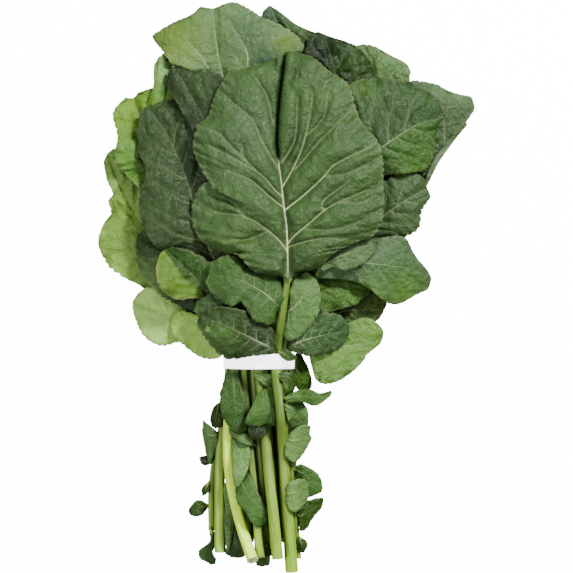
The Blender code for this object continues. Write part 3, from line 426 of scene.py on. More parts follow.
        neck=[(-40, -26)],
        rib=[(-51, 7), (-69, 50), (-78, 82), (-93, 118), (-109, 142)],
        left=[(-56, 9), (-70, 25), (-89, 30), (-102, 30), (-112, 46), (-116, 60), (-115, 74),
              (-111, 92), (-117, 106), (-118, 126), (-114, 142)],
        right=[(-46, 14), (-37, 38), (-35, 66), (-40, 92), (-51, 114), (-66, 135), (-85, 147),
               (-101, 146)],
        shape=Shape(arch=9, fold=4, camber=9, ruffle=3, wave=50, droop=4, phase=0.2),
        columns=BROAD, rows=17, girth=0.85,
    ),
    Leaf(
        "leaf_folded_left", "green", (-2.5, 2), (-26, -217),
        shin=[(-46, -114), (-45, -146), (-42, -170), (-36, -186)],
        neck=[(-43, -42)],
        rib=[(-51, -23), (-65, -2), (-81, 16), (-95, 29)],
        left=[(-56, -22), (-70, -10), (-86, -11), (-99, -2), (-102, 14), (-99, 26)],
        right=[(-46, -17), (-51, 6), (-62, 20), (-77, 28), (-90, 31)],
        shape=Shape(arch=5, fold=7, camber=-2, ruffle=3, wave=32, droop=2, phase=0.9),
        rows=11,
        lobes=[
            Lobe(
                -145, rib=[(-40, -146), (-27, -166), (-20, -191)],
                left=[(-37, -145), (-29, -149), (-22, -162), (-14, -180), (-15, -188)],
                right=[(-40, -150), (-37, -158), (-34, -170), (-29, -184), (-24, -191)],
                shape=Shape(arch=3, fold=2, camber=2, ruffle=1, wave=26, droop=3), rows=6,
            ),
            Lobe(
                -124, rib=[(-42, -126), (-36, -134), (-36, -148), (-39, -160)],
                left=[(-39, -124), (-30, -126), (-28, -134), (-30, -146), (-36, -158)],
                right=[(-43, -130), (-42, -138), (-42, -148), (-41, -157)],
                shape=LOW_LOBE, rows=6,
            ),
            leaflet(-108, (-43, -110), (-23, -127), 4, bow=-2),
            Lobe(
                -70, rib=[(-42, -72), (-41, -90), (-39, -113)],
                left=[(-38, -71), (-36, -84), (-33, -98), (-32, -109)],
                right=[(-46, -71), (-50, -80), (-50, -92), (-50, -104), (-44, -112)],
                shape=Shape(arch=2, fold=1, camber=3, ruffle=2, wave=26, droop=3),
                columns=PLAIN, rows=7,
            ),
        ],
    ),
    Leaf(
        "leaf_left_shoulder", "green", (0, 3), (-6, -216),
        shin=[(-15, -118), (-14, -138), (-12, -162), (-9, -184)],
        neck=[(-19, -10)],
        rib=[(-19, 20), (-37, 70), (-57, 118), (-82, 164)],
        left=[(-24, 22), (-45, 42), (-61, 74), (-70, 108), (-74, 122), (-83, 140), (-94, 158)],
        right=[(-14, 25), (-10, 58), (-16, 102), (-30, 142), (-48, 164), (-63, 173), (-75, 168)],
        shape=Shape(arch=8, fold=3, camber=7, ruffle=3, wave=44, droop=4, phase=0.6),
        columns=BROAD, rows=15,
        lobes=[
            Lobe(
                -40, rib=[(-24, -38), (-38, -29), (-55, -20), (-71, -16)],
                left=[(-24, -43), (-36, -44), (-50, -38), (-64, -28), (-73, -20)],
                right=[(-19, -34), (-19, -14), (-32, -4), (-48, -3), (-62, -8), (-71, -13)],
                shape=Shape(arch=5, fold=2, camber=3, ruffle=3, wave=22, droop=5),
                columns=PLAIN, rows=8,
            ),
            leaflet(-104, (-18, -107), (-27, -122), 7),
            Lobe(
                -69, rib=[(-20, -71), (-15, -76), (-11, -83)],
                left=[(-16, -70), (-9, -71), (-10, -79)],
                right=[(-24, -70), (-27, -70), (-20, -76), (-14, -82)],
                shape=FLAT_LOBE,
            ),
            Lobe(
                -80, rib=[(-16, -83), (-13, -95), (-14, -109)],
                left=[(-11, -80), (-6, -83), (-1, -92), (-2, -104), (-9, -111)],
                right=[(-19, -82), (-24, -90), (-30, -102), (-31, -109), (-20, -111)],
                shape=Shape(arch=3, fold=1, camber=3, ruffle=1, wave=26, droop=3),
                columns=PLAIN, rows=7,
            ),
        ],
    ),
    Leaf(
        "leaf_main", "dark", (1.75, 3), (5, -227),
        shin=[(-5, -86), (-2, -114), (-1, -150), (2, -186)],
        neck=[(-4, -36), (-2, -14)],
        rib=[(2, 6), (2, 26), (1, 46), (-1, 60), (-3, 78), (-6, 108), (-4, 146), (1, 185)],
        left=[(-2, 7), (-24, 11), (-37, 24), (-50, 27), (-66, 35), (-74, 50), (-72, 70), (-66, 80),
              (-59, 84), (-67, 94), (-74, 111), (-70, 127), (-62, 135), (-56, 151), (-46, 166),
              (-29, 174), (-14, 178), (-4, 182)],
        right=[(6, 8), (11, 12), (26, 14), (39, 26), (55, 34), (72, 42), (78, 66), (78, 86),
               (77, 99), (73, 115), (62, 128), (55, 143), (50, 160), (35, 170), (21, 182), (6, 186)],
        shape=Shape(arch=12, fold=6, camber=12, ruffle=3, wave=48, droop=8, stiff=0.6),
        columns=FULL, rows=24, girth=1.1,
        lobes=[
            Lobe(
                -48, rib=[(-10, -50), (-28, -41), (-48, -31), (-68, -24)],
                left=[(-10, -54), (-26, -56), (-44, -58), (-55, -52), (-63, -42), (-70, -30)],
                right=[(-8, -47), (-8, -38), (-18, -27), (-34, -19), (-50, -16), (-62, -18)],
                shape=Shape(arch=5, fold=2, camber=3, ruffle=2, wave=26, droop=5),
                columns=PLAIN, rows=9, under=True,
            ),
            Lobe(
                -18, rib=[(-7, -16), (-20, -4), (-38, 5), (-61, 9)],
                left=[(-7, -21), (-11, -30), (-24, -27), (-35, -13), (-43, -16), (-57, -7), (-64, 3)],
                right=[(-4, -10), (-6, 12), (-24, 22), (-44, 25), (-60, 18)],
                shape=Shape(arch=5, fold=2, camber=4, ruffle=2, wave=30, droop=5),
                columns=PLAIN, rows=10, under=True,
            ),
            Lobe(
                -24, rib=[(0, -22), (9, -15), (16, -4), (20, 9)],
                left=[(1, -16), (3, -6), (7, 4), (16, 11)],
                right=[(-1, -28), (-2, -40), (4, -44), (14, -38), (25, -23), (28, -6), (24, 6)],
                shape=Shape(arch=4, fold=2, camber=3, ruffle=2, wave=26, droop=4),
                columns=PLAIN, rows=9, under=True,
            ),
            leaflet(-49, (-6, -51), (9, -55), 4),
            Lobe(
                -71, rib=[(-6, -72), (3, -73), (5, -80), (0, -88)],
                left=[(-5, -69), (3, -69), (9, -73), (8, -80), (3, -88)],
                right=[(-6, -75), (0, -76), (1, -82), (-2, -86)],
                shape=FLAT_LOBE, rows=6,
            ),
            Lobe(
                -92, rib=[(0, -94), (9, -102), (14, -113)],
                left=[(4, -92), (13, -92), (18, -100), (18, -110)],
                right=[(0, -98), (2, -106), (7, -115)],
                shape=LOW_LOBE,
            ),
            Lobe(
                -88, rib=[(0, -89), (11, -87), (24, -89), (37, -85)],
                left=[(2, -86), (11, -82), (20, -82), (27, -85), (36, -83)],
                right=[(2, -92), (14, -92), (21, -95), (27, -94), (35, -88)],
                shape=Shape(arch=3, fold=1, camber=2, ruffle=1, wave=20, droop=4), rows=7,
            ),
            Lobe(
                -121, rib=[(2, -122), (10, -122), (19, -117)],
                left=[(2, -118), (6, -114), (14, -110), (20, -111)],
                right=[(0, -126), (0, -134), (7, -140), (15, -132), (21, -121)],
                shape=ARCHED_LOBE,
            ),
            Lobe(
                -164, rib=[(1, -165), (9, -163), (18, -162)],
                left=[(0, -159), (5, -154), (14, -153), (19, -158)],
                right=[(0, -170), (4, -178), (12, -177), (19, -167)],
                shape=ARCHED_LOBE,
            ),
        ],
    ),
]


def smooth_path(points, steps):
    """The points at these shares of the length of a smooth curve, and the curve's length."""
    points = np.array(points, float)
    ends = np.vstack([2 * points[0] - points[1], points, 2 * points[-1] - points[-2]])
    share = np.linspace(0, 1, 17)[:-1, None]
    dense = []
    for before, start, end, after in zip(ends, ends[1:], ends[2:], ends[3:]):
        slope = end - before
        curve = 2 * before - 5 * start + 4 * end - after
        twist = 3 * start - before - 3 * end + after
        dense.append(start + (slope * share + curve * share**2 + twist * share**3) / 2)
    dense = np.vstack(dense + [points[-1:]])
    pieces = np.linalg.norm(np.diff(dense, axis=0), axis=1)
    length = np.concatenate([[0], np.cumsum(pieces)])
    wanted = np.array(steps) * length[-1]
    return np.column_stack([np.interp(wanted, length, axis) for axis in dense.T]), length[-1]


@dataclass
class Sheet:
    """A loft of flat rings: the upper and lower points of each station, from the root to the tip.

    The first stations are a round stalk, which is lifted whole. Blade stations are free to bend.
    """

    top: np.ndarray
    bottom: np.ndarray
    middle: np.ndarray
    stalk_stations: int
    freedom: np.ndarray
    held: int = 0


def stalk_rings(path, radii, columns):
    """Round rings round a path, each with as many points above as below."""
    count = len(columns)
    heading = np.gradient(path[:, :2], axis=0)
    heading /= np.linalg.norm(heading, axis=1, keepdims=True)
    leftward = np.column_stack([-heading[:, 1], heading[:, 0]])
    angles = (np.arange(count) + 0.5) * math.pi / count
    across = radii[:, None] * np.cos(angles)
    height = radii[:, None] * np.sin(angles)
    plan = path[:, None, :2] + across[..., None] * leftward[:, None]
    top = np.dstack([plan, path[:, 2:3] + height])
    bottom = np.dstack([plan, path[:, 2:3] - height])
    return top, bottom


def relief(shape, along, columns, width, margin):
    """How far the blade stands above its stalk's end, for each station and column."""
    out = np.abs(columns)[None, :]
    side = np.sign(columns)[None, :]
    height = shape.arch * np.sin(math.pi * along) - shape.droop * along**2
    height = height + shape.fold * (1 - np.exp(-out * width / FOLD_REACH))
    height = height - shape.camber * out**2 * np.minimum(width / CAMBER_WIDTH, 1.2)
    turns = margin / shape.wave + shape.phase + 0.37 * side
    waves = 0.7 * np.sin(math.tau * turns) + 0.3 * np.sin(math.tau * (2.1 * turns + 0.2))
    return height + shape.ruffle * out**2.2 * waves


def blade_rings(part, base_height, base_radius, columns, rows):
    """The blade's upper and lower points, station by station, and its rib's points."""
    steps = np.linspace(0, 1, rows)
    rib, _ = smooth_path(part.rib, steps**RIB_LAG)
    left, left_length = smooth_path(part.left, steps)
    right, right_length = smooth_path(part.right, steps)
    tooth = TOOTH * np.where(np.arange(rows) % 2, 1.0, -1.0)[:, None]
    tooth[[0, -1]] = 0
    for margin in (left, right):
        outward = margin - rib
        margin += tooth * outward / np.maximum(np.linalg.norm(outward, axis=1, keepdims=True), 1)
    columns = np.array(columns)
    on_left = columns[None, :] < 0
    margin = np.where(on_left[..., None], left[:, None], right[:, None])
    plan = rib[:, None] + np.abs(columns)[None, :, None] * (margin - rib[:, None])
    width = np.linalg.norm(margin - rib[:, None], axis=2)
    along_margin = steps[:, None] * np.where(on_left, left_length, right_length)
    height = base_height + relief(part.shape, steps[:, None], columns, width, along_margin)
    rib_radius = (TIP_RADIUS + (base_radius - TIP_RADIUS) * (1 - steps)) * RIB_RIDGE
    ridge = np.where(columns == 0, 1.0, 0.0)[None, :] * rib_radius[:, None]
    top = np.dstack([plan, height + BLADE_THICKNESS / 2])
    bottom = np.dstack([plan, height - BLADE_THICKNESS / 2 - ridge])
    return top, bottom, np.column_stack([rib, height[:, len(columns) // 2]])


def joined(stalk, radii, part, columns, rows, held=0):
    """One sheet of the stalk and the blade that it carries."""
    above, below = stalk_rings(stalk, radii, columns)
    top, bottom, middle = blade_rings(part, stalk[-1, 2], radii[-1], columns, rows)
    steps = np.linspace(0, 1, rows)
    freedom = np.concatenate([np.zeros(len(stalk)), np.clip(steps / FREE_AFTER, 0, 1)])
    return Sheet(
        np.vstack([above, top]), np.vstack([below, bottom]), np.vstack([stalk, middle]),
        len(stalk), freedom, held,
    )


def stalk_steps(points, low, high):
    """Shares of the stalk's length at its stations, with one at each end of the straight waist."""
    shares = np.linspace(0, 1, 401)
    path, length = smooth_path(points, shares)
    first = shares[np.argmax(path[:, 1] >= low)]
    second = shares[np.argmax(path[:, 1] >= high)]
    below = max(round(first * length / STALK_STEP), 3)
    above = max(round((1 - second) * length / STALK_STEP), 2)
    return np.concatenate([
        np.linspace(0, first, below + 1),
        np.linspace(second, 1, above + 1),
    ])


def leaf_sheet(leaf):
    """A leaf's sheet before it is laid down: its stalk runs level through its place at the waist."""
    column, row = leaf.place
    waist_x = WAIST_X + column * STALK_PITCH
    waist_z = LOWEST_ROW + row * ROW_HEIGHT
    cut_z = CUT_LOWEST_ROW + row * CUT_ROW_HEIGHT
    low_waist = (waist_x, WAIST_Y - WAIST_STRAIGHT, waist_z)
    waist = (waist_x, WAIST_Y, waist_z)
    high_waist = (waist_x, WAIST_Y + WAIST_STRAIGHT, waist_z)
    cut = np.array([*leaf.cut, cut_z])
    points = [cut]
    for x, y in reversed(leaf.shin):
        share = (low_waist[1] - y) / (low_waist[1] - cut[1])
        points.append((x, y, waist_z + (cut_z - waist_z) * share))
    points += [low_waist, waist, high_waist]
    points += [(x, y, waist_z) for x, y in leaf.neck]
    base = leaf.rib[0]
    heading = np.subtract(base, points[-1][:2])
    short = np.subtract(base, heading / np.hypot(*heading) * STALK_END_GAP)
    points.append((*short, waist_z))
    path = smooth_path(points, stalk_steps(points, low_waist[1], high_waist[1]))[0]
    to_base = np.clip((path[:, 1] - high_waist[1]) / max(short[1] - high_waist[1], SHORTEST_NECK), 0, 1)
    to_cut = np.clip((low_waist[1] - path[:, 1]) / (low_waist[1] - cut[1]), 0, 1)
    radii = WAIST_RADIUS + (BASE_RADIUS - WAIST_RADIUS) * to_base + (CUT_RADIUS - WAIST_RADIUS) * to_cut
    return joined(path, radii * leaf.girth, leaf, leaf.columns, leaf.rows)


def lobe_sheet(lobe, leaf_shape):
    """A lobe whose root is sunk in the middle of its leaf's stalk."""
    stalk = leaf_shape.middle[: leaf_shape.stalk_stations]
    root = np.array([np.interp(lobe.root, stalk[:, 1], axis) for axis in stalk.T])
    first = np.array(lobe.rib[0], float)
    neck = [*(root[:2] + (first - root[:2]) * LOBE_NECK), root[2] + 1]
    return joined(np.array([root, neck]), LOBE_RADII, lobe, lobe.columns, lobe.rows, held=2)


def between(grid, row, column):
    """A grid's values at rows and columns that aren't whole, from the four points round each."""
    i = row.astype(int)
    j = column.astype(int)
    shape = row.shape + (1,) * (grid.ndim - 2)
    ahead = (row - i).reshape(shape)
    right = (column - j).reshape(shape)
    low = grid[i, j] * (1 - right) + grid[i, j + 1] * right
    high = grid[i + 1, j] * (1 - right) + grid[i + 1, j + 1] * right
    return low * (1 - ahead) + high * ahead


class Pile:
    """The height of what is laid down so far, over a grid of small cells."""

    def __init__(self):
        self.columns = round((ROOM_X[1] - ROOM_X[0]) / CELL)
        self.rows = round((ROOM_Y[1] - ROOM_Y[0]) / CELL)
        self.tops = np.zeros((self.rows, self.columns))
        y = ROOM_Y[0] + (np.arange(self.rows) + 0.5) * CELL
        self.in_stalks = np.clip((HEAD_START - y) / (HEAD_START - STALKS_END), 0, 1)[:, None]
        self.gap = LEAF_GAP + (STALK_GAP - LEAF_GAP) * self.in_stalks

    def cells(self, points):
        """The rows and columns of the cells that the points are over."""
        column = np.floor((points[..., 0] - ROOM_X[0]) / CELL).astype(int)
        row = np.floor((points[..., 1] - ROOM_Y[0]) / CELL).astype(int)
        return np.clip(row, 0, self.rows - 1), np.clip(column, 0, self.columns - 1)

    def add(self, points):
        """Raises the pile to the points' height."""
        np.maximum.at(self.tops, self.cells(points), points[..., 2])

    def room_needed(self, points, share=1.0):
        """How far each point has to rise to clear what lies below it."""
        cells = self.cells(points)
        gap = np.broadcast_to(self.gap, self.tops.shape)[cells]
        floor = self.tops[cells] <= 0
        return self.tops[cells] + np.where(floor, 0.0, gap * share) - points[..., 2]

    def read(self, grid, points):
        """The grid's value at each point, between the middles of its cells."""
        column = np.clip((points[..., 0] - ROOM_X[0]) / CELL - 0.5, 0, self.columns - 1.001)
        row = np.clip((points[..., 1] - ROOM_Y[0]) / CELL - 0.5, 0, self.rows - 1.001)
        return between(grid, row, column)


def shifted(grid, step, axis):
    """The grid moved by a number of cells, with its edge repeated."""
    index = np.clip(np.arange(grid.shape[axis]) - step, 0, grid.shape[axis] - 1)
    return np.take(grid, index, axis)


def widest(grid, reach):
    """The highest value within reach of each cell."""
    for axis in (0, 1):
        covered = 0
        while covered < reach:
            step = min(2 * covered + 1, reach - covered)
            grid = np.maximum(grid, np.maximum(shifted(grid, step, axis), shifted(grid, -step, axis)))
            covered += step
    return grid


def blurred(grid, reach):
    """The mean over the cells within half of reach, taken twice."""
    for half in (reach - reach // 2, reach // 2):
        for axis in (0, 1):
            size = grid.shape[axis]
            total = np.concatenate([np.take(grid, [0], axis) * 0, np.cumsum(grid, axis)], axis)
            high = np.clip(np.arange(size) + half + 1, 0, size)
            low = np.clip(np.arange(size) - half, 0, size)
            grid = (np.take(total, high, axis) - np.take(total, low, axis)) / (2 * half + 1)
    return grid


def envelope(need, reach):
    """A smooth surface that is nowhere below the need."""
    spread = widest(need, reach + 2)
    return blurred(np.where(np.isfinite(spread), spread, 0.0), reach)


def samples(surface, first, last):
    """Points spread over the triangles between two stations, as [station, column, a, b, xyz]."""
    patch = surface[first : last + 1]
    low = patch[:-1, :-1, None, None]
    right = patch[:-1, 1:, None, None]
    ahead = patch[1:, :-1, None, None]
    far = patch[1:, 1:, None, None]
    long_side = np.linalg.norm(np.diff(patch, axis=0)[..., :2], axis=2).max()
    wide_side = np.linalg.norm(np.diff(patch, axis=1)[..., :2], axis=2).max()
    a = np.linspace(0, 1, int(long_side / (SAMPLE_STEP * CELL)) + 2)[:, None, None]
    b = np.linspace(0, 1, int(wide_side / (SAMPLE_STEP * CELL)) + 2)[None, :, None]
    near_half = low + a * (ahead - low) + b * (right - low)
    far_half = far + (1 - a) * (right - far) + (1 - b) * (ahead - far)
    return np.where(a + b <= 1, near_half, far_half)


def stretches(sheet):
    """The sheet's stalk and its blade, as pairs of first and last station."""
    joint = sheet.stalk_stations - 1
    return [(0, joint), (joint, joint + 1), (joint + 1, len(sheet.top) - 1)]


def needed(sheet, pile, clear_of=None):
    """The room that the sheet's underside needs, cell by cell."""
    need = np.full(pile.tops.shape, -np.inf)
    for first, last in stretches(sheet):
        if last <= sheet.held - 1:
            continue
        points = samples(sheet.bottom, first, last).reshape(-1, 3)
        if clear_of is not None:
            points = points[np.hypot(*(points[:, :2] - clear_of[:2]).T) > clear_of[2]]
        np.maximum.at(need, pile.cells(points), pile.room_needed(points))
    return need


def raise_by(sheet, lift):
    """Lifts a sheet's stations, each by its own amount."""
    sheet.top[..., 2] += lift
    sheet.bottom[..., 2] += lift
    sheet.middle[:, 2] += lift[:, lift.shape[1] // 2]


def lift_from(sheet, pile, rise):
    """The rise read at each blade point, and at the middle of the stalk's rings."""
    own = pile.read(rise, sheet.top)
    whole = pile.read(rise, sheet.middle)[:, None]
    freedom = sheet.freedom[:, None]
    lift = freedom * own + (1 - freedom) * whole
    lift[: sheet.held] = 0
    return lift


def clear_below(sheet, pile, clear_of=None):
    """Lifts the corners of each triangle that still comes too near what lies below it."""
    for _ in range(CLEARING_ROUNDS):
        lift = np.zeros(sheet.top.shape[:2])
        for first, last in stretches(sheet):
            points = samples(sheet.bottom, first, last)
            short = pile.room_needed(points, CLEARED_SHARE)
            if clear_of is not None:
                near = np.hypot(points[..., 0] - clear_of[0], points[..., 1] - clear_of[1]) <= clear_of[2]
                short = np.where(near, -points[..., 2], short)
            short = np.maximum(short.max(axis=(2, 3)), 0)
            for ahead in (0, 1):
                for right in (0, 1):
                    part = lift[first + ahead : last + ahead, right : right + short.shape[1]]
                    np.maximum(part, short, out=part)
        lift[: sheet.stalk_stations] = lift[: sheet.stalk_stations].max(axis=1, keepdims=True)
        lift[: sheet.held] = 0
        raise_by(sheet, lift)


def drape(sheet, pile, stiff):
    """Lays a leaf over the pile: lifted where it has to be, and let down where there is room."""
    need = needed(sheet, pile)
    tight = envelope(need, TIGHT_REACH)
    soft = envelope(need, DRAPE_REACH)
    stiffer = envelope(need, STIFF_REACH)
    head = (1 - stiff) * soft + stiff * stiffer
    rise = pile.in_stalks * np.maximum(tight, 0) + (1 - pile.in_stalks) * head
    raise_by(sheet, lift_from(sheet, pile, rise))
    clear_below(sheet, pile)


def drape_lobe(sheet, pile):
    """Lays a lobe over the pile, with its root left in the stalk."""
    root = sheet.middle[0]
    clear_of = (root[0], root[1], ROOT_ROOM)
    need = needed(sheet, pile, clear_of)
    reach = LOBE_REACH if sheet.top.shape[1] == len(NARROW) else BIG_LOBE_REACH
    rise = np.maximum(envelope(need, reach), -LOBE_SAG)
    raise_by(sheet, lift_from(sheet, pile, rise))
    clear_below(sheet, pile, clear_of)


def add_to(pile, sheet):
    """Adds the upper side of a laid sheet to the pile."""
    for first, last in stretches(sheet):
        pile.add(samples(sheet.top, first, last))


def lay_lobes(leaf, sheet, pile, under):
    """Lays those of a leaf's lobes that lie under its blade, or the others. Returns their sheets too."""
    laid = []
    for lobe in leaf.lobes:
        if lobe.under == under:
            lobe_laid = lobe_sheet(lobe, sheet)
            drape_lobe(lobe_laid, pile)
            add_to(pile, lobe_laid)
            laid.append((lobe, lobe_laid))
    return laid


def ride_over(sheet, lobes):
    """Lifts a leaf's blade over its own lobes, which lie under it."""
    below = Pile()
    for _, lobe_laid in lobes:
        add_to(below, lobe_laid)
    below.tops[below.tops <= 0] = -np.inf
    below.gap = np.full(below.tops.shape, LEAF_GAP)
    first = sheet.stalk_stations + 1
    points = samples(sheet.bottom, first, len(sheet.top) - 1).reshape(-1, 3)
    need = np.full(below.tops.shape, -np.inf)
    np.maximum.at(need, below.cells(points), below.room_needed(points))
    rise = np.maximum(envelope(need, LOBE_REACH), 0)
    lift = below.read(rise, sheet.top)
    lift[:first] = 0
    raise_by(sheet, lift)


def tie_outline(sheets):
    """The corners of a taut band round all the stalks at the waist, as x and z."""
    reach = TIE_WIDTH / 2 + 1
    inside = []
    for sheet in sheets:
        for surface in (sheet.top, sheet.bottom):
            points = samples(surface, 0, sheet.stalk_stations - 1).reshape(-1, 3)
            inside.append(points[np.abs(points[:, 1] - WAIST_Y) < reach][:, [0, 2]])
    inside = np.vstack(inside)
    angles = np.arange(TIE_SIDES) * math.tau / TIE_SIDES
    normals = np.column_stack([np.cos(angles), np.sin(angles)])
    support = (inside @ normals.T).max(axis=0) + TIE_CLEARANCE
    corners = []
    for index in range(TIE_SIDES):
        after = (index + 1) % TIE_SIDES
        lines = np.array([normals[index], normals[after]])
        corners.append(np.linalg.solve(lines, [support[index], support[after]]))
    return np.array(corners)


def tie_top(outline):
    """Points over the tie's upper side, for what lies across it."""
    middle = outline.mean(axis=0)
    outer = outline + (outline - middle) / np.linalg.norm(outline - middle, axis=1)[:, None]
    closed = np.vstack([outer, outer[:1]])
    share = np.linspace(0, 1, 20)[:, None]
    ring = np.vstack([a + (b - a) * share for a, b in zip(closed, closed[1:])])
    across = np.arange(-TIE_WIDTH / 2, TIE_WIDTH / 2 + 0.1, 0.5) + WAIST_Y
    return np.array([(x, y, z) for y in across for x, z in ring])


# How finely the leaves are drawn, and how near they may lie
FINE_STEP = 1.4
ACROSS = 1.6
SKIN_THICKNESS = 0.5
FINE_GAP = 0.4
FINE_REACH = 5
FLAP_STEPS = 9
JOINT_SHARES = (0.0, 0.35, 0.7)
JOINT_NARROWING = 0.25

# Margins: the lengths over which teeth, sweeps and frills change, and where a narrow end calms them
TOOTH_DRIFT = 14
TOOTH_CHANGE = 9
MARGIN_SWEEP = 17
FRILL_WAVE = 15
FRILL_DRIFT = 19
NARROW_END = 12

# Relief: how far from a vein a blade is looked at, swells twice, stays calm and is paler
VEIN_REACH = 14
NOTHING_NEAR = 99.0
FIRST_SWELL = 2.5
SECOND_SWELL = 9
CALM_REACH = 2.5
HALO_REACH = 0.9
HALO_STRENGTH = 0.06

# Veins: the points along each, their half widths and taper, and where twigs leave them
DRAWN_POINTS = 24
DRAWN_WIDTH = 0.7
LATERAL_POINTS = 18
TWIG_POINTS = 10
TWIG_PLACES = (0.22, 0.4, 0.56, 0.72, 0.86)
SHORTEST_VEIN = 3

# Stalks and ribs: their sides and ridges, the paler stretch towards the cut, and the cut itself
STALK_STEP_FINE = 5.0
RIB_STEP = 2.5
STALK_SIDES = 20
THIN_SIDES = 10
VEIN_SIDES = 6
THICK_RADIUS = 2
FLUTE = 0.05
CUT_LEAN = 0.6
PALE_FROM = -110
PALE_OVER = 130
DISH = ((1.0, 0.0), (0.72, 0.3), (0.3, 0.6))
HOLE = ((1.0, 0.0), (0.62, 0.4), (0.5, 9.0))
HOLLOW_LEAF = "leaf_left_shoulder"

# The band of paper: points round and across it, where its seam may lie, and the waves of its edges
TIE_DENSE = 400
TIE_SEAM = 80
TIE_AROUND = 120
TIE_ACROSS = 9
TIE_WAVE = 0.35
TIE_STAND = 0.15


@dataclass
class Flap:
    """The right margin rolled up from start to end, as shares of its length, by so many degrees."""

    start: float
    end: float
    width: float
    radius: float
    turn: float


@dataclass
class Slit:
    """A cut from the margin towards the rib, where the tip's side lies over the root's side."""

    side: int
    along: float
    inner: float
    overlap: float
    lift: float


@dataclass
class Groove:
    """A sharp fold along the rib between two values of y, over which the right half leans."""

    start: float
    end: float
    depth: float
    reach: float
    lean: float


@dataclass
class Pull:
    """Draws a blade sideways from a place, less and less within its reach."""

    x: float
    y: float
    right: float
    up: float
    reach: float


@dataclass
class Patch:
    """A place where the paint is multiplied by a tint, less and less within its reach."""

    x: float
    y: float
    reach: float
    tint: tuple


@dataclass
class Look:
    """What the eye sees of a blade beyond its solid. Lengths are in millimetres.

    A leaf's tone is its own name. A vein is a list of places with its thickness as a share, and a
    hole is a place with its radius. The halves are tints left and right of the split.
    """

    tone: str = ""
    step: float = FINE_STEP
    laterals: int = 6
    slant: float = 0.24
    vein: float = 0.6
    tooth: float = 0.9
    pitch: float = 5.0
    quilt: float = 2.0
    pucker: float = 0.9
    bubble: float = 12.0
    frill: float = 1.1
    veins: tuple = ()
    holes: tuple = ()
    flap: Flap = None
    slit: Slit = None
    groove: Groove = None
    slope: float = 0.0
    rib: float = 1.0
    twigs: bool = True
    stalk: str = "stalk"
    pale: float = 0.8
    halves: tuple = ((1, 1, 1), (1, 1, 1))
    split: float = 0.0
    pulls: tuple = ()
    patches: tuple = ()


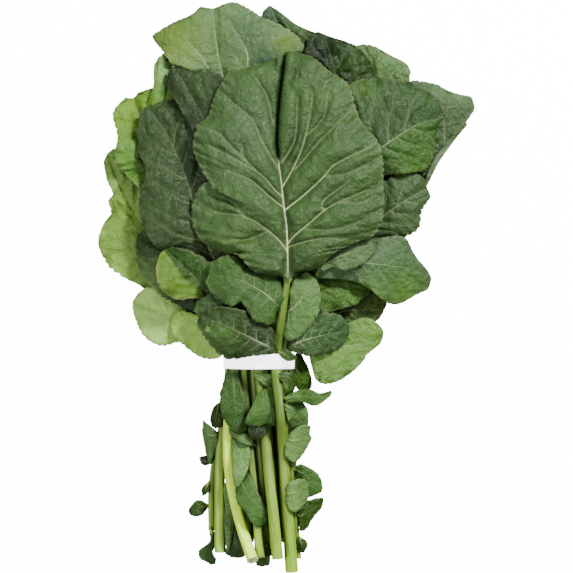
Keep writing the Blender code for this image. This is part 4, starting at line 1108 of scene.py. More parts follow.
LOOKS = {
    "leaf_back_right": Look(pulls=[Pull(94, 176, 4, 0, 10)]),
    "leaf_back_tip": Look(tooth=0.3, patches=[Patch(-12, 218, 18, (0.75, 0.75, 1.6))]),
    "leaf_right_low_back": Look(pulls=[Pull(66, -20, 0, -5, 12)]),
    "leaf_outer_left": Look(
        laterals=8, pale=0.5,
        pulls=[Pull(-128, 10, 0, -3, 12)],
        patches=[
            Patch(-108, 38, 14, (0.3, 0.35, 0.5)),
            Patch(-122, 96, 24, (0.85, 0.85, 1.3)),
            Patch(-133, 60, 20, (0.68, 0.7, 0.5)),
        ],
    ),
    "leaf_low_left": Look(pucker=0.5, pale=0.4, pulls=[Pull(-118, -30, -2, 0, 14)]),
    "leaf_far_right": Look(
        laterals=7, quilt=0.6,
        pulls=[Pull(148, 146, 2, 2, 10), Pull(128, 102, -6, -2, 24)],
        patches=[
            Patch(122, 161, 12, (1.8, 1.8, 1.9)),
            Patch(141, 153, 9, (1.8, 1.8, 1.8)),
            Patch(123, 110, 12, (1.7, 1.7, 1.7)),
        ],
        flap=Flap(0.3, 0.92, width=11.0, radius=1.6, turn=170),
    ),
    "leaf_right_shoulder": Look(pucker=1.3, bubble=9.0),
    "leaf_low_right": Look(
        laterals=5, tooth=0.25, quilt=0.5, pucker=0.25, pale=0.5,
        pulls=[Pull(66, -34, 7, -2, 12), Pull(58, -28, 0, 3, 10)],
        flap=Flap(0.2, 0.85, width=5.0, radius=2.2, turn=130),
    ),
    "leaf_curled_left": Look(
        pucker=1.3, bubble=9.0, pale=0.3,
        pulls=[Pull(-127, 150, 0, 0.5, 12), Pull(-108, 160, 2, 1, 8)],
        patches=[
            Patch(-125, 140, 22, (1.6, 1.3, 1.0)),
            Patch(-112, 100, 16, (0.6, 0.65, 0.7)),
            Patch(-98, 172, 13, (2.3, 1.9, 5.0)),
        ],
    ),
    "leaf_top": Look(
        pucker=0.5, quilt=1.4, twigs=False,
        veins=[([(-60, 170), (-69, 184), (-79, 199)], 1.0), ([(-30, 170), (-32, 190), (-44, 211)], 1.0)],
        pulls=[Pull(-50, 222, 0, -1, 40), Pull(-86, 205, -1, 3, 18)],
        patches=[
            Patch(-88, 196, 22, (1.3, 1.15, 0.5)),
            Patch(-28, 205, 18, (0.75, 0.75, 1.0)),
            Patch(0, 192, 10, (1.1, 1.0, 0.45)),
            Patch(-16, 178, 14, (0.4, 0.45, 0.6)),
        ],
    ),
    "leaf_mid_left": Look(
        stalk="bright_stalk", pale=0.3,
        pulls=[Pull(-74, -12, 4, -8, 10)],
        patches=[
            # Painted shade in the crevice
            Patch(-76, 36, 19, (0.1, 0.1, 0.14)),
            Patch(-80, -6, 13, (0.2, 0.2, 0.3)),
            Patch(-107, 0, 14, (3.1, 2.9, 2.9)),
        ],
    ),
    "leaf_low_left_front": Look(pucker=0.6, pale=0.4),
    "leaf_crinkled": Look(
        pucker=2.4, pale=0.5,
        pulls=[Pull(92, 180, -15, -4, 18)],
        patches=[
            Patch(56, 180, 18, (2.2, 2.25, 2.1)),
            Patch(20, 190, 7, (0.5, 0.5, 0.5)),
            Patch(31, 184, 6, (0.35, 0.35, 0.35)),
        ],
    ),
    "leaf_right": Look(
        pucker=1.0, pale=0.6,
        halves=((0.85, 0.85, 0.9), (1.1, 1.15, 0.8)),
        patches=[Patch(60, 156, 9, (1.4, 1.3, 0.7)), Patch(104, 96, 16, (1.3, 1.4, 0.7))],
    ),
    "leaf_right_folded": Look(
        tooth=0.3, pale=0.3, flap=Flap(0.25, 0.85, width=5.0, radius=1.5, turn=150)
    ),
    "leaf_right_low": Look(
        laterals=5, tooth=0.3, vein=0.5, pucker=0.4, quilt=0.8, pale=0.6,
        pulls=[Pull(104, 2, 6, 0, 12), Pull(90, -8, 0, -5, 12)],
        patches=[Patch(96, -6, 18, (1.35, 1.5, 0.6)), Patch(70, -6, 12, (1.2, 1.3, 0.6))],
    ),
    "leaf_left_dark": Look(laterals=7, quilt=1.4, pale=0.5, pulls=[Pull(-45, 26, 6, -3, 9)]),
    "leaf_folded_left": Look(
        stalk="pale_stalk", pucker=1.2, bubble=9.0, pale=0.3,
        halves=((3.9, 2.6, 2.3), (0.9, 0.9, 0.9)), split=-0.25,
        patches=[Patch(-73, -6, 7, (3.7, 2.5, 2.2))],
    ),
    "leaf_left_shoulder": Look(
        laterals=8, pale=0.25,
        pulls=[Pull(-84, 163, -3, 8, 10), Pull(-86, 170, -4, 3, 8)],
        patches=[Patch(-84, 130, 16, (0.6, 0.6, 0.7)), Patch(-72, 158, 14, (2.0, 1.9, 1.9))],
    ),
    "leaf_main": Look(
        step=1.1, tooth=1.1, quilt=4.4, bubble=15.0, rib=1.5, twigs=False, pale=1.0, slope=0.16,
        groove=Groove(98, 190, depth=9.0, reach=2.0, lean=2.5),
        slit=Slit(-1, along=0.475, inner=0.4, overlap=6.0, lift=4.0),
        patches=[
            # Painted highlight: a silvery sheen left of the rib
            Patch(-28, 122, 22, (1.25, 1.15, 1.65)),
            # Painted shade: the valley right of the rib, then a dark band beside the groove
            Patch(7, 118, 9, (0.48, 0.55, 0.42)),
            Patch(6, 100, 7, (0.65, 0.7, 0.6)),
            Patch(-8, 134, 6, (0.7, 0.72, 0.65)),
            Patch(-7, 156, 6, (0.62, 0.64, 0.56)),
            Patch(-6, 174, 6, (0.6, 0.64, 0.55)),
            # Painted shade towards the lower right, and painted light towards the lower left
            Patch(46, 48, 26, (0.8, 0.86, 0.72)),
            Patch(-36, 40, 20, (1.1, 1.12, 0.9)),
        ],
        veins=[
            ([(2, 33), (31, 59), (63, 75)], 1.0),
            ([(31, 59), (31, 67), (51, 84)], 0.6),
            ([(0, 60), (29, 85), (40, 97), (71, 112)], 1.0),
            ([(-2, 78), (10, 100), (19, 130), (21, 155)], 0.8),
            ([(2, 30), (27, 37), (47, 37)], 0.7),
            ([(2, 26), (-13, 43), (-30, 54), (-57, 58)], 1.0),
            ([(-1, 62), (-22, 79), (-45, 92)], 0.8),
            ([(-2, 70), (-30, 99), (-34, 110)], 0.8),
            ([(-4, 90), (-16, 110), (-22, 124)], 0.6),
            ([(-3, 98), (8, 118), (10, 150)], 0.5),
            ([(15, 45), (34, 44), (56, 50)], 0.4),
            ([(44, 66), (58, 66), (72, 72)], 0.35),
            ([(8, 92), (24, 112), (38, 126), (52, 140)], 0.4),
            ([(16, 118), (30, 134), (34, 154)], 0.3),
            ([(30, 86), (46, 88), (66, 96)], 0.35),
            ([(-14, 43), (-30, 37), (-48, 34)], 0.4),
            ([(-30, 54), (-44, 66), (-58, 72)], 0.35),
            ([(-22, 90), (-44, 104), (-62, 112)], 0.4),
            ([(-31, 100), (-50, 118), (-62, 124)], 0.3),
            ([(-14, 106), (-26, 130), (-44, 148)], 0.4),
            ([(-8, 122), (-14, 150), (-24, 166)], 0.35),
        ],
    ),
}

# The lobes' looks, by the leaf's name and the lobe's root
LOBE_LOOKS = {
    ("leaf_low_left_front", -150): Look(
        "silver", pulls=[Pull(-46, -160, -4, 0, 10)], patches=[Patch(-46, -196, 14, (0.5, 0.5, 0.5))]
    ),
    ("leaf_main", -48): Look(
        "deep", step=1.3, laterals=5, holes=[(-61, -34, 2.4)],
        patches=[Patch(-52, -42, 15, (3.9, 3.7, 4.2))],
    ),
    ("leaf_main", -18): Look("mid", step=1.5, laterals=5, pulls=[Pull(-5, -4, 5, 0, 8)]),
    ("leaf_main", -24): Look("light", step=1.5, laterals=5),
    ("leaf_main", -49): Look("mid", pulls=[Pull(4, -54, 0, -3, 9)]),
    ("leaf_main", -71): Look("olive"),
    ("leaf_main", -92): Look("light"),
    ("leaf_main", -88): Look("grey"),
    ("leaf_main", -121): Look("silver"),
    ("leaf_main", -164): Look("silver"),
    ("leaf_left_shoulder", -40): Look("blue", step=1.2, pucker=2.6, bubble=7.0),
    ("leaf_left_shoulder", -104): Look("deep"),
    ("leaf_left_shoulder", -69): Look("silver"),
    ("leaf_left_shoulder", -80): Look("grey"),
    ("leaf_folded_left", -145): Look(
        "grey", pulls=[Pull(-34, -164, -4, 0, 9), Pull(-35, -173, -3, 0, 6)]
    ),
    ("leaf_folded_left", -124): Look("silver", pulls=[Pull(-41, -124, 0, 6, 7)]),
    ("leaf_folded_left", -108): Look("light", pulls=[Pull(-42, -114, -2, -3, 6)]),
    ("leaf_folded_left", -70): Look(
        "green",
        pulls=[
            Pull(-42, -72, 0, 6, 9), Pull(-50, -90, -2, 0, 10), Pull(-34, -88, 3, 0, 10),
            Pull(-34, -109, 4, -3, 7), Pull(-37, -111, 0, -4, 6),
        ],
    ),
    ("leaf_right_low", -50): Look("blue", step=1.5),
    ("leaf_right_low", 4): Look(
        "light", step=1.0, pucker=3.4, bubble=7.0, patches=[Patch(50, 24, 40, (0.7, 0.66, 0.9))]
    ),
    ("leaf_right_low", -144): Look("grey", pulls=[Pull(25, -160, 5, -2, 8)]),
    ("leaf_right_low", -180): Look("olive", pulls=[Pull(25, -174, 5, 2, 8), Pull(12, -190, 2, -3, 8)]),
    ("leaf_right_low", -197): Look("green"),
    ("leaf_low_right", -70): Look(
        "olive", pulls=[Pull(14, -64, -3, 13, 9)], patches=[Patch(18, -78, 14, (1.9, 1.7, 2.0))]
    ),
    ("leaf_mid_left", -92): Look("olive"),
    ("leaf_mid_left", -118): Look("light", pulls=[Pull(-62, -134, 4, -9, 8)]),
    ("leaf_low_left", -141): Look("deep"),
    ("leaf_low_left", -156): Look("green"),
    ("leaf_low_left", -174): Look("olive", pulls=[Pull(-72, -181, -3, -2, 6)]),
    ("leaf_low_left", -190): Look("green", pulls=[Pull(-63, -214, -4, -4, 7), Pull(-57, -205, 4, 0, 8)]),
    ("leaf_low_left_front", -188): Look("blue"),
    ("leaf_crinkled", -200): Look("mid"),
}

# Paints as shares of red, green and blue light sent back, each with how pale its veins are
TONES = {
    "leaf_back_right": ((0.085, 0.17, 0.0467), 0.5),
    "leaf_back_tip": ((0.039, 0.088, 0.0172), 0.4),
    "leaf_right_low_back": ((0.0323, 0.0723, 0.0051), 0.3),
    "leaf_outer_left": ((0.1956, 0.3573, 0.0548), 0.4),
    "leaf_low_left": ((0.3539, 0.6335, 0.1327), 0.45),
    "leaf_far_right": ((0.0349, 0.0697, 0.021), 0.5),
    "leaf_right_shoulder": ((0.034, 0.0719, 0.0205), 0.4),
    "leaf_low_right": ((0.1068, 0.2301, 0.0374), 0.4),
    "leaf_curled_left": ((0.0889, 0.2089, 0.0215), 0.3),
    "leaf_top": ((0.0863, 0.1634, 0.0503), 0.7),
    "leaf_mid_left": ((0.0293, 0.0628, 0.0143), 0.3),
    "leaf_low_left_front": ((0.314, 0.5635, 0.0906), 0.45),
    "leaf_crinkled": ((0.0098, 0.0252, 0.004), 0.25),
    "leaf_right": ((0.0254, 0.0671, 0.0127), 0.5),
    "leaf_right_folded": ((0.0474, 0.1209, 0.0106), 0.3),
    "leaf_right_low": ((0.0522, 0.1064, 0.0394), 0.5),
    "leaf_left_dark": ((0.0232, 0.0503, 0.0114), 0.5),
    "leaf_folded_left": ((0.024, 0.0727, 0.0076), 0.45),
    "leaf_left_shoulder": ((0.0137, 0.0309, 0.0064), 0.45),
    "leaf_main": ((0.0431, 0.0903, 0.0232), 1.0),
    "deep": ((0.0115, 0.0303, 0.0042), 0.5),
    "blue": ((0.0321, 0.0803, 0.0207), 0.5),
    "grey": ((0.0478, 0.1231, 0.0186), 0.4),
    "mid": ((0.0301, 0.0822, 0.0116), 0.4),
    "green": ((0.0234, 0.0732, 0.0061), 0.4),
    "light": ((0.08, 0.1701, 0.0401), 0.4),
    "olive": ((0.0181, 0.0576, 0.0005), 0.3),
    "silver": ((0.1191, 0.2381, 0.0575), 0.4),
}
PALE_VEIN = (0.86, 1.00, 0.50)
UNDERSIDE = (0.16, 0.22, 0.10)
STALK_TONE = (0.128, 0.222, 0.022)
STALK_STREAK = (0.075, 0.138, 0.010)
STALK_END = (0.420, 0.780, 0.026)
BRIGHT_STALK = (0.245, 0.370, 0.055)
BRIGHT_STREAK = (0.120, 0.210, 0.016)
PALE_STALK = (0.70, 1.00, 0.06)
PALE_STREAK = (0.56, 0.92, 0.035)
PALE_END = (0.66, 1.00, 0.07)
CUT_TONE = (0.55, 0.70, 0.25)

# Patterns of the leaves' and stalks' paints, as scales for places in millimetres
BLOTCH = 0.035
MOTTLE = 0.22
NET = 0.26
FINE_NET = 0.8
SWELL = 0.2
STREAKS = 1.1
STREAK_STRETCH = 0.05
STALK_PATCHES = 0.03

# How deep the painted shade is where surfaces stand close together, and how far it reaches in metres
PAINTED_SHADE_REACH = 0.022
DARKEST_PAINTED_SHADE = 0.22

# The studio, in metres and watts: the floor glows evenly, and the band glows by so much as painted light
WHITE = (1.0, 1.0, 1.0)
SKY = 0.46
KEY_PLACE = (1.0, 1.3, 1.5)
KEY_SIZE = 0.4
KEY_POWER = 88
FILL_PLACE = (-1.3, -0.4, 1.8)
FILL_SIZE = 1.2
FILL_POWER = 30
FLOOR_GLOW = 14.0
PAPER_PAINTED_GLOW = 3.4
FLOOR_HEIGHT = -0.0004
TABLE_HEIGHT = -0.0012
PLATE_REACH = 4.0
CAMERA_PLACE = (0.0008, -0.0006, 3.0)
CAMERA_SENSOR = 36
CAMERA_LENS = 235.0


def hermite(knots, values, wanted):
    """The values on a smooth curve through the knots, along the first axis."""
    knots = np.array(knots, float)
    shape = (-1,) + (1,) * (values.ndim - 1)
    gaps = np.diff(knots)
    slopes = np.diff(values, axis=0) / gaps.reshape(shape)
    before = gaps[:-1].reshape(shape)
    after = gaps[1:].reshape(shape)
    inner = (after * slopes[:-1] + before * slopes[1:]) / (before + after)
    tangents = np.concatenate([slopes[:1], inner, slopes[-1:]])
    index = np.clip(np.searchsorted(knots, wanted, side="right") - 1, 0, len(knots) - 2)
    gap = gaps[index].reshape(shape)
    s = ((wanted - knots[index]) / gaps[index]).reshape(shape)
    start = (1 + 2 * s) * (1 - s) ** 2 * values[index] + s * (1 - s) ** 2 * gap * tangents[index]
    end = s**2 * (3 - 2 * s) * values[index + 1] + s**2 * (s - 1) * gap * tangents[index + 1]
    return start + end


def noise(x, y, cell, seed):
    """Smooth noise between -1 and 1, with bumps about a cell wide."""
    size = 64
    lattice = np.random.default_rng(seed).uniform(-1, 1, (size, size))
    column = np.floor(x / cell).astype(int)
    row = np.floor(y / cell).astype(int)
    right = x / cell - column
    up = y / cell - row
    right = right * right * (3 - 2 * right)
    up = up * up * (3 - 2 * up)

    def between_columns(row):
        start = lattice[row % size, column % size]
        return start * (1 - right) + lattice[row % size, (column + 1) % size] * right

    return between_columns(row) * (1 - up) + between_columns(row + 1) * up


def step_of(look):
    """The spacing of a blade's points."""
    return look.step * 1


def unit(vectors):
    """The vectors made one long."""
    return vectors / np.maximum(np.linalg.norm(vectors, axis=-1, keepdims=True), 1e-9)


def normals_of(middle):
    """The upward normals of a grid of points."""
    return unit(np.cross(np.gradient(middle, axis=1), np.gradient(middle, axis=0)))


def distances_along(path):
    """The length of the path up to each of its points."""
    return np.concatenate([[0], np.cumsum(np.linalg.norm(np.diff(path, axis=0), axis=1))])


class Skin:
    """Collects the surfaces of one piece, with what its materials need at each point.

    The marks are the place on the unfolded skin, the paleness of a vein or stalk's end, the nearness
    to the rim, and a tint.
    """

    def __init__(self):
        self.points = []
        self.faces = []
        self.slots = []
        self.marks = {"skin": [], "halo": [], "rim": [], "tint": []}
        self.names = []
        self.count = 0

    def slot(self, name):
        """The number of a material on this piece."""
        if name not in self.names:
            self.names.append(name)
        return self.names.index(name)

    def add(self, points, groups, slots, skin, halo=0.0, rim=0.0, tint=1.0):
        """Adds points with their marks, and groups of faces that number them from 0."""
        count = len(points)
        self.points.append(points)
        for faces in groups:
            self.faces += [tuple(face) for face in (faces + self.count).tolist()]
        self.slots += slots
        self.marks["skin"].append(skin)
        self.marks["halo"].append(np.broadcast_to(halo, count))
        self.marks["rim"].append(np.broadcast_to(rim, count))
        self.marks["tint"].append(np.broadcast_to(tint, (count, 3)))
        self.count += count

    def piece(self, name):
        """The finished piece as an object of the scene."""
        mesh = bpy.data.meshes.new(name)
        mesh.from_pydata((np.vstack(self.points) * MM).tolist(), [], self.faces)
        for label, parts in self.marks.items():
            values = np.concatenate(parts)
            kind, target = ("FLOAT_VECTOR", "vector") if values.ndim == 2 else ("FLOAT", "value")
            attribute = mesh.attributes.new(label, kind, "POINT")
            attribute.data.foreach_set(target, values.ravel())
        for material in self.names:
            mesh.materials.append(MATERIALS[material])
        mesh.polygons.foreach_set("material_index", self.slots)
        mesh.shade_smooth()
        mesh.validate()
        thing = bpy.data.objects.new(name, mesh)
        bpy.context.scene.collection.objects.link(thing)
        return thing


# The four sides of a square in a grid: where its neighbour lies, and the side's two corners
SIDES = (
    ((-1, 0), (0, 0), (0, 1)),
    ((0, 1), (0, 1), (1, 1)),
    ((1, 0), (1, 1), (1, 0)),
    ((0, -1), (1, 0), (0, 0)),
)


def add_grid(skin, middle, kept, flat, marks, upper, lower):
    """A thin closed sheet over a grid of points, where its squares are kept."""
    rows, columns = middle.shape[:2]
    count = rows * columns
    top = np.arange(count).reshape(rows, columns)
    near, right, ahead, far = top[:-1, :-1], top[:-1, 1:], top[1:, :-1], top[1:, 1:]
    above = np.dstack([near, right, far, ahead])[kept]
    below = np.dstack([near, ahead, far, right])[kept] + count
    walls = []
    padded = np.pad(kept, 1)
    for (down, over), first, second in SIDES:
        beside = padded[1 + down : rows + down, 1 + over : columns + over]
        i, j = np.nonzero(kept & ~beside)
        a = top[i + first[0], j + first[1]]
        b = top[i + second[0], j + second[1]]
        walls.append(np.column_stack([b, a, a + count, b + count]))
    walls = np.vstack(walls)
    faces = np.vstack([above, below, walls])
    used = np.zeros(2 * count, bool)
    used[faces] = True
    index = np.cumsum(used) - 1
    offset = normals_of(middle) * SKIN_THICKNESS / 2
    points = np.vstack([(middle + offset).reshape(-1, 3), (middle - offset).reshape(-1, 3)])
    slots = [skin.slot(upper)] * len(above) + [skin.slot(lower)] * len(below)
    slots += [skin.slot(upper)] * len(walls)
    twice = {"skin": np.tile(flat.reshape(-1, 3), (2, 1))[used]}
    for name, values in marks.items():
        values = values.reshape(count, -1).squeeze()
        twice[name] = np.concatenate([values, values])[used]
    skin.add(points[used], [index[faces]], slots, **twice)


def add_cap(skin, ring, outward, slot, seed, steps):
    """Closes a ring inwards in steps, each a share of its width and a depth."""
    sides = len(ring)
    middle = ring.mean(axis=0)
    rings = [middle + (ring - middle) * width - outward * depth for width, depth in steps]
    points = np.vstack(rings + [middle[None] - outward * steps[-1][1]])
    index = np.arange(len(rings) * sides).reshape(len(rings), sides)
    after = np.roll(index, -1, axis=1)
    bands = np.dstack([index[:-1], after[:-1], after[1:], index[1:]]).reshape(-1, 4)
    fan = np.column_stack([index[-1], after[-1], np.full(sides, len(points) - 1)])
    slots = [skin.slot(slot)] * (len(bands) + sides)
    skin.add(points, [bands, fan], slots, points + seed, halo=1.0)


def add_tube(
    skin, path, widths, ups, downs, sides, slot, seed, halo, flute=0.0, lean=0.0, hollow=False, tint=None
):
    """A closed tube along a path: wide by widths, high by ups and deep by downs.

    Its start is a cut face if it leans, and a plain cap otherwise.
    """
    heading = unit(np.gradient(path, axis=0))
    across = unit(np.cross(heading, [0.0, 0.0, 1.0]))
    up = np.cross(across, heading)
    angles = np.arange(sides) * math.tau / sides
    ridges = 1 + flute * np.cos(5 * angles + seed) + 0.7 * flute * np.cos(9 * angles + 2 * seed)
    groove = 2.2 * flute * np.exp(-(((angles - math.pi / 2) / 0.4) ** 2))
    cos = np.cos(angles) * ridges
    sin = np.sin(angles) * (ridges - groove)
    height = np.where(sin >= 0, ups[:, None] * sin, downs[:, None] * sin)
    rings = path[:, None] + across[:, None] * (widths[:, None] * cos)[..., None]
    rings = rings + up[:, None] * height[..., None]
    rings[0] += heading[0] * (lean * height[0] / max(widths[0], 0.1))[:, None]
    count = len(path)
    index = np.arange(count * sides).reshape(count, sides)
    after = np.roll(index, -1, axis=1)
    faces = np.dstack([index[:-1], index[1:], after[1:], after[:-1]]).reshape(-1, 4)
    length = np.repeat(distances_along(path)[:, None], sides, 1)
    reach = np.linalg.norm(rings - path[:, None], axis=2)
    flat = np.dstack([reach * np.sin(angles / 2) * 3, length, reach * 0 + seed]).reshape(-1, 3)
    halo = np.repeat(np.broadcast_to(halo, count), sides)
    tint = 1.0 if tint is None else np.repeat(tint, sides, axis=0)
    slots = [skin.slot(slot)] * len(faces)
    skin.add(rings.reshape(-1, 3), [faces], slots, flat, halo=halo, tint=tint)
    add_cap(skin, rings[0], -heading[0], "cut" if lean else slot, seed, HOLE if hollow else DISH)
    add_cap(skin, rings[-1][::-1], heading[-1], slot, seed, DISH)


class Blade:
    """A fine blade: its middle surface, the unfolded plan of each point and its veins."""

    def __init__(self, part, sheet, look, seed, base_radius):
        self.part = part
        self.look = look
        self.seed = seed
        self.base_radius = base_radius
        lengths = [smooth_path(points, [1.0])[1] for points in (part.rib, part.left, part.right)]
        self.rib_length = lengths[0]
        self.t = np.linspace(0, 1, max(int(max(lengths) / step_of(look)) + 1, 8))
        left_share, left = self.half(sheet, -1, part.left, lengths[1])
        right_share, right = self.half(sheet, 1, part.right, lengths[2])
        self.u = np.concatenate([-left_share[:0:-1], right_share])
        self.points = np.concatenate([left[:, :0:-1], right], axis=1)
        self.plan = self.points[..., :2].copy()
        self.rib_column = len(left_share) - 1
        self.move_and_tint()
        self.lay_out_veins()
        self.relieve()

    def half(self, sheet, side, margin_points, margin_length):
        """One half of the blade, toothed and frilled: its columns' shares of the width and its points."""
        part = self.part
        look = self.look
        t = self.t
        heights = sheet.top[sheet.stalk_stations :, :, 2] - BLADE_THICKNESS / 2
        stations = np.linspace(0, 1, part.rows)
        columns = np.array(part.columns)
        keep = np.flatnonzero(columns * side >= 0)
        keep = keep[np.argsort(np.abs(columns[keep]))]
        at_rib = t - look.slope * np.sin(math.pi * t)
        margin = smooth_path(margin_points, t)[0]
        rib = smooth_path(part.rib, at_rib**RIB_LAG)[0]
        width = np.linalg.norm(margin - rib, axis=1)
        share = np.linspace(0, 1, max(int(width.max() / step_of(look) / ACROSS), 3) + 1) ** 1.2
        plan = np.zeros((len(t), len(share), 2))
        height = np.zeros((len(t), len(share)))
        for column, out in enumerate(share):
            place = at_rib + out * (t - at_rib)
            on_rib = smooth_path(part.rib, place**RIB_LAG)[0]
            on_margin = smooth_path(margin_points, place)[0]
            plan[:, column] = on_rib + out * (on_margin - on_rib)
            across = hermite(stations, heights[:, keep], place)
            height[:, column] = hermite(np.abs(columns[keep]), across.T, np.array([out]))[0]
        s = t * margin_length

        def vary(line, cell, extra):
            return noise(s, s * 0 + line * side, cell, self.seed + extra)

        tooth = np.abs(np.sin(math.pi * (s / look.pitch + 0.9 * vary(7, TOOTH_DRIFT, 0)))) ** 0.6 - 0.7
        size = 1.0 + 0.8 * vary(11, TOOTH_CHANGE, 3)
        frill = np.sin(math.tau * (s / FRILL_WAVE + 0.9 * vary(53, FRILL_DRIFT, 2)))
        fade = np.minimum(1, 8 * t * (1 - t)) * np.minimum(1, width / NARROW_END)
        reach = look.tooth * (1.6 * tooth * size + 0.6 * vary(31, MARGIN_SWEEP, 1)) * fade
        outward = (margin - rib) / np.maximum(width, 1)[:, None]
        plan = plan + outward[:, None] * (reach[:, None] * share[None] ** 8)[..., None]
        height = height + look.frill * (frill * fade)[:, None] * share[None] ** 4
        return share, np.dstack([plan, height])

    def move_and_tint(self):
        """Pulls the blade sideways where its look says, and gives each point its tint."""
        look = self.look
        halves = np.array(look.halves, float)[:, None, None]
        self.tint = np.repeat(np.where(self.u[None, :, None] < look.split, *halves), len(self.t), axis=0)
        for pull in look.pulls:
            shift = self.nearness(pull)[..., None] * np.array([pull.right, pull.up])
            self.plan = self.plan + shift
            self.points[..., :2] += shift
        for patch in look.patches:
            share = self.nearness(patch)[..., None]
            self.tint = self.tint * (1 - share) + np.array(patch.tint) * share

    def nearness(self, spot):
        """How near each point is to a spot: 1 on it, and next to nothing beyond its reach."""
        away = (self.plan[..., 0] - spot.x) ** 2 + (self.plan[..., 1] - spot.y) ** 2
        return np.exp(-away / spot.reach**2)

    def at(self, t, u, grid):
        """A grid's values at shares along and across the blade."""
        row = np.clip(np.asarray(t) * (len(self.t) - 1), 0, len(self.t) - 1.001)
        column = np.clip(np.interp(u, self.u, np.arange(len(self.u))), 0, len(self.u) - 1.001)
        return between(grid, row, column)

    def share_of(self, x, y):
        """The shares along and across the blade of the grid point nearest to a place in plan."""
        away = (self.plan[..., 0] - x) ** 2 + (self.plan[..., 1] - y) ** 2
        i, j = np.unravel_index(np.argmin(away), away.shape)
        return self.t[i], self.u[j]

    def lay_out_veins(self):
        """Every vein as shares along and across, with its half widths and its rank."""
        draw = np.random.default_rng(self.seed + 5)
        self.veins = self.drawn_veins() or self.laterals(draw)
        if self.look.twigs:
            self.veins += self.twigs(draw)

    def drawn_veins(self):
        """The veins whose places the look lists."""
        scale = np.array([100, 50])
        veins = []
        for places, thick in self.look.veins:
            shares = np.array([self.share_of(x, y) for x, y in places])
            path = smooth_path(shares * scale, np.linspace(0, 1, DRAWN_POINTS))[0] / scale
            width = DRAWN_WIDTH * thick * np.linspace(1, 0.35, DRAWN_POINTS)
            veins.append((path[:, 0], path[:, 1], width, 1))
        return veins

    def laterals(self, draw):
        """The side veins that leave the rib at even distances, a little at random."""
        look = self.look
        s = np.linspace(0, 1, LATERAL_POINTS)
        veins = []
        for side in (-1, 1):
            for index in range(look.laterals):
                start = 0.02 + 0.82 * ((index + 0.25 * side + 0.3) / look.laterals) ** 1.05
                start = max(start + draw.uniform(-0.012, 0.012), 0.01)
                rise = look.slant * (1.0 - 0.55 * start) * (1 + draw.uniform(-0.15, 0.15))
                t = np.minimum(start + rise * s**1.15 + 0.01 * np.sin(s * 7 + index), 0.985)
                thick = look.vein * (1.05 - 0.5 * start)
                veins.append((t, side * 0.95 * s**0.96, thick * (1 - 0.72 * s), 1))
        return veins

    def twigs(self, draw):
        """Finer veins that leave the others by turns forwards and backwards."""
        s = np.linspace(0, 1, TWIG_POINTS)
        veins = []
        for t, u, width, _ in self.veins:
            for number, share in enumerate(TWIG_PLACES):
                place = int(share * (len(t) - 1))
                side = 1 if u[place] > 0 else -1
                room = 0.97 - abs(u[place])
                if room < 0.06:
                    continue
                forward, spread = (0.13, 0.62) if number % 2 == 0 else (-0.03, 0.8)
                t1 = t[place] + forward * s * (0.8 + draw.uniform(-0.2, 0.3)) + 0.035 * s**1.6
                u1 = u[place] + side * room * s * spread
                if t1.max() < 0.99:
                    veins.append((t1, u1, width[place] * 0.5 * (1 - 0.65 * s), 2))
        return veins

    def measure_near(self):
        """How far each point is from the nearest vein, in plan. A twig counts as farther away."""
        self.near = np.full(self.points.shape[:2], NOTHING_NEAR)
        lines = [(self.plan[:, self.rib_column], self.rib_size()[0], 1.0)]
        for t, u, width, rank in self.veins:
            lines.append((self.at(t, u, self.plan), width, 1.0 if rank == 1 else 1.5))
        for line, halves, weight in lines:
            low = line.min(axis=0) - VEIN_REACH
            high = line.max(axis=0) + VEIN_REACH
            inside = ((self.plan > low) & (self.plan < high)).all(axis=2)
            if not inside.any():
                continue
            spots = self.plan[inside]
            best = np.full(len(spots), NOTHING_NEAR)
            for start, step, half in zip(line[:-1], np.diff(line, axis=0), halves):
                share = np.clip(((spots - start) @ step) / max(step @ step, 1e-9), 0, 1)
                away = np.hypot(*(spots - start - share[:, None] * step).T)
                best = np.minimum(best, np.maximum(away - half, 0))
            self.near[inside] = np.minimum(self.near[inside], best * weight)

    def relieve(self):
        """Blisters between the veins, fine puckers, and the fold and the cut that the look asks for."""
        look = self.look
        self.measure_near()
        near = self.near
        x, y = self.plan[..., 0], self.plan[..., 1]
        edge = 1 - np.abs(self.u)[None, :] ** 3
        swell = 0.6 * (1 - np.exp(-near / FIRST_SWELL)) + 0.8 * (1 - np.exp(-near / SECOND_SWELL))
        blister = look.quilt * swell * edge
        pucker = noise(x, y, look.bubble, self.seed + 11)
        for part, share in ((1.7, 0.7), (2.9, 0.45)):
            ridged = 0.8 - 2 * np.abs(noise(x, y, look.bubble / part, self.seed + 12 + int(part)))
            pucker = pucker + share * ridged
        calm = 1 - np.exp(-((near / CALM_REACH) ** 2))
        ends = np.minimum(1, 10 * self.t * (1 - self.t) + 0.1)[:, None]
        self.points[..., 2] += (blister + look.pucker * pucker * calm) * ends
        self.halo = HALO_STRENGTH * look.pale * np.exp(-((near / HALO_REACH) ** 2))
        self.kept = np.ones((len(self.t) - 1, len(self.u) - 1), bool)
        if look.groove:
            self.fold_in(look.groove)
        if look.slit:
            self.cut_in(look.slit)

    def fold_in(self, groove):
        """Sinks the blade along the rib, and leans the right half over the fold."""
        y = self.plan[:, self.rib_column, 1]
        amount = np.clip((y - groove.start) / 14, 0, 1) * np.clip((groove.end - y) / 5, 0, 1)
        away = self.plan[..., 0] - self.plan[:, [self.rib_column], 0]
        sink = np.exp(-((away / groove.reach) ** 2)) * amount[:, None]
        self.points[..., 2] -= groove.depth * sink
        beside = np.exp(-(((away - 1.2 * groove.reach) / (1.5 * groove.reach)) ** 2)) * amount[:, None]
        self.points[..., 0] -= groove.lean * np.where(away > 0, beside, 0)

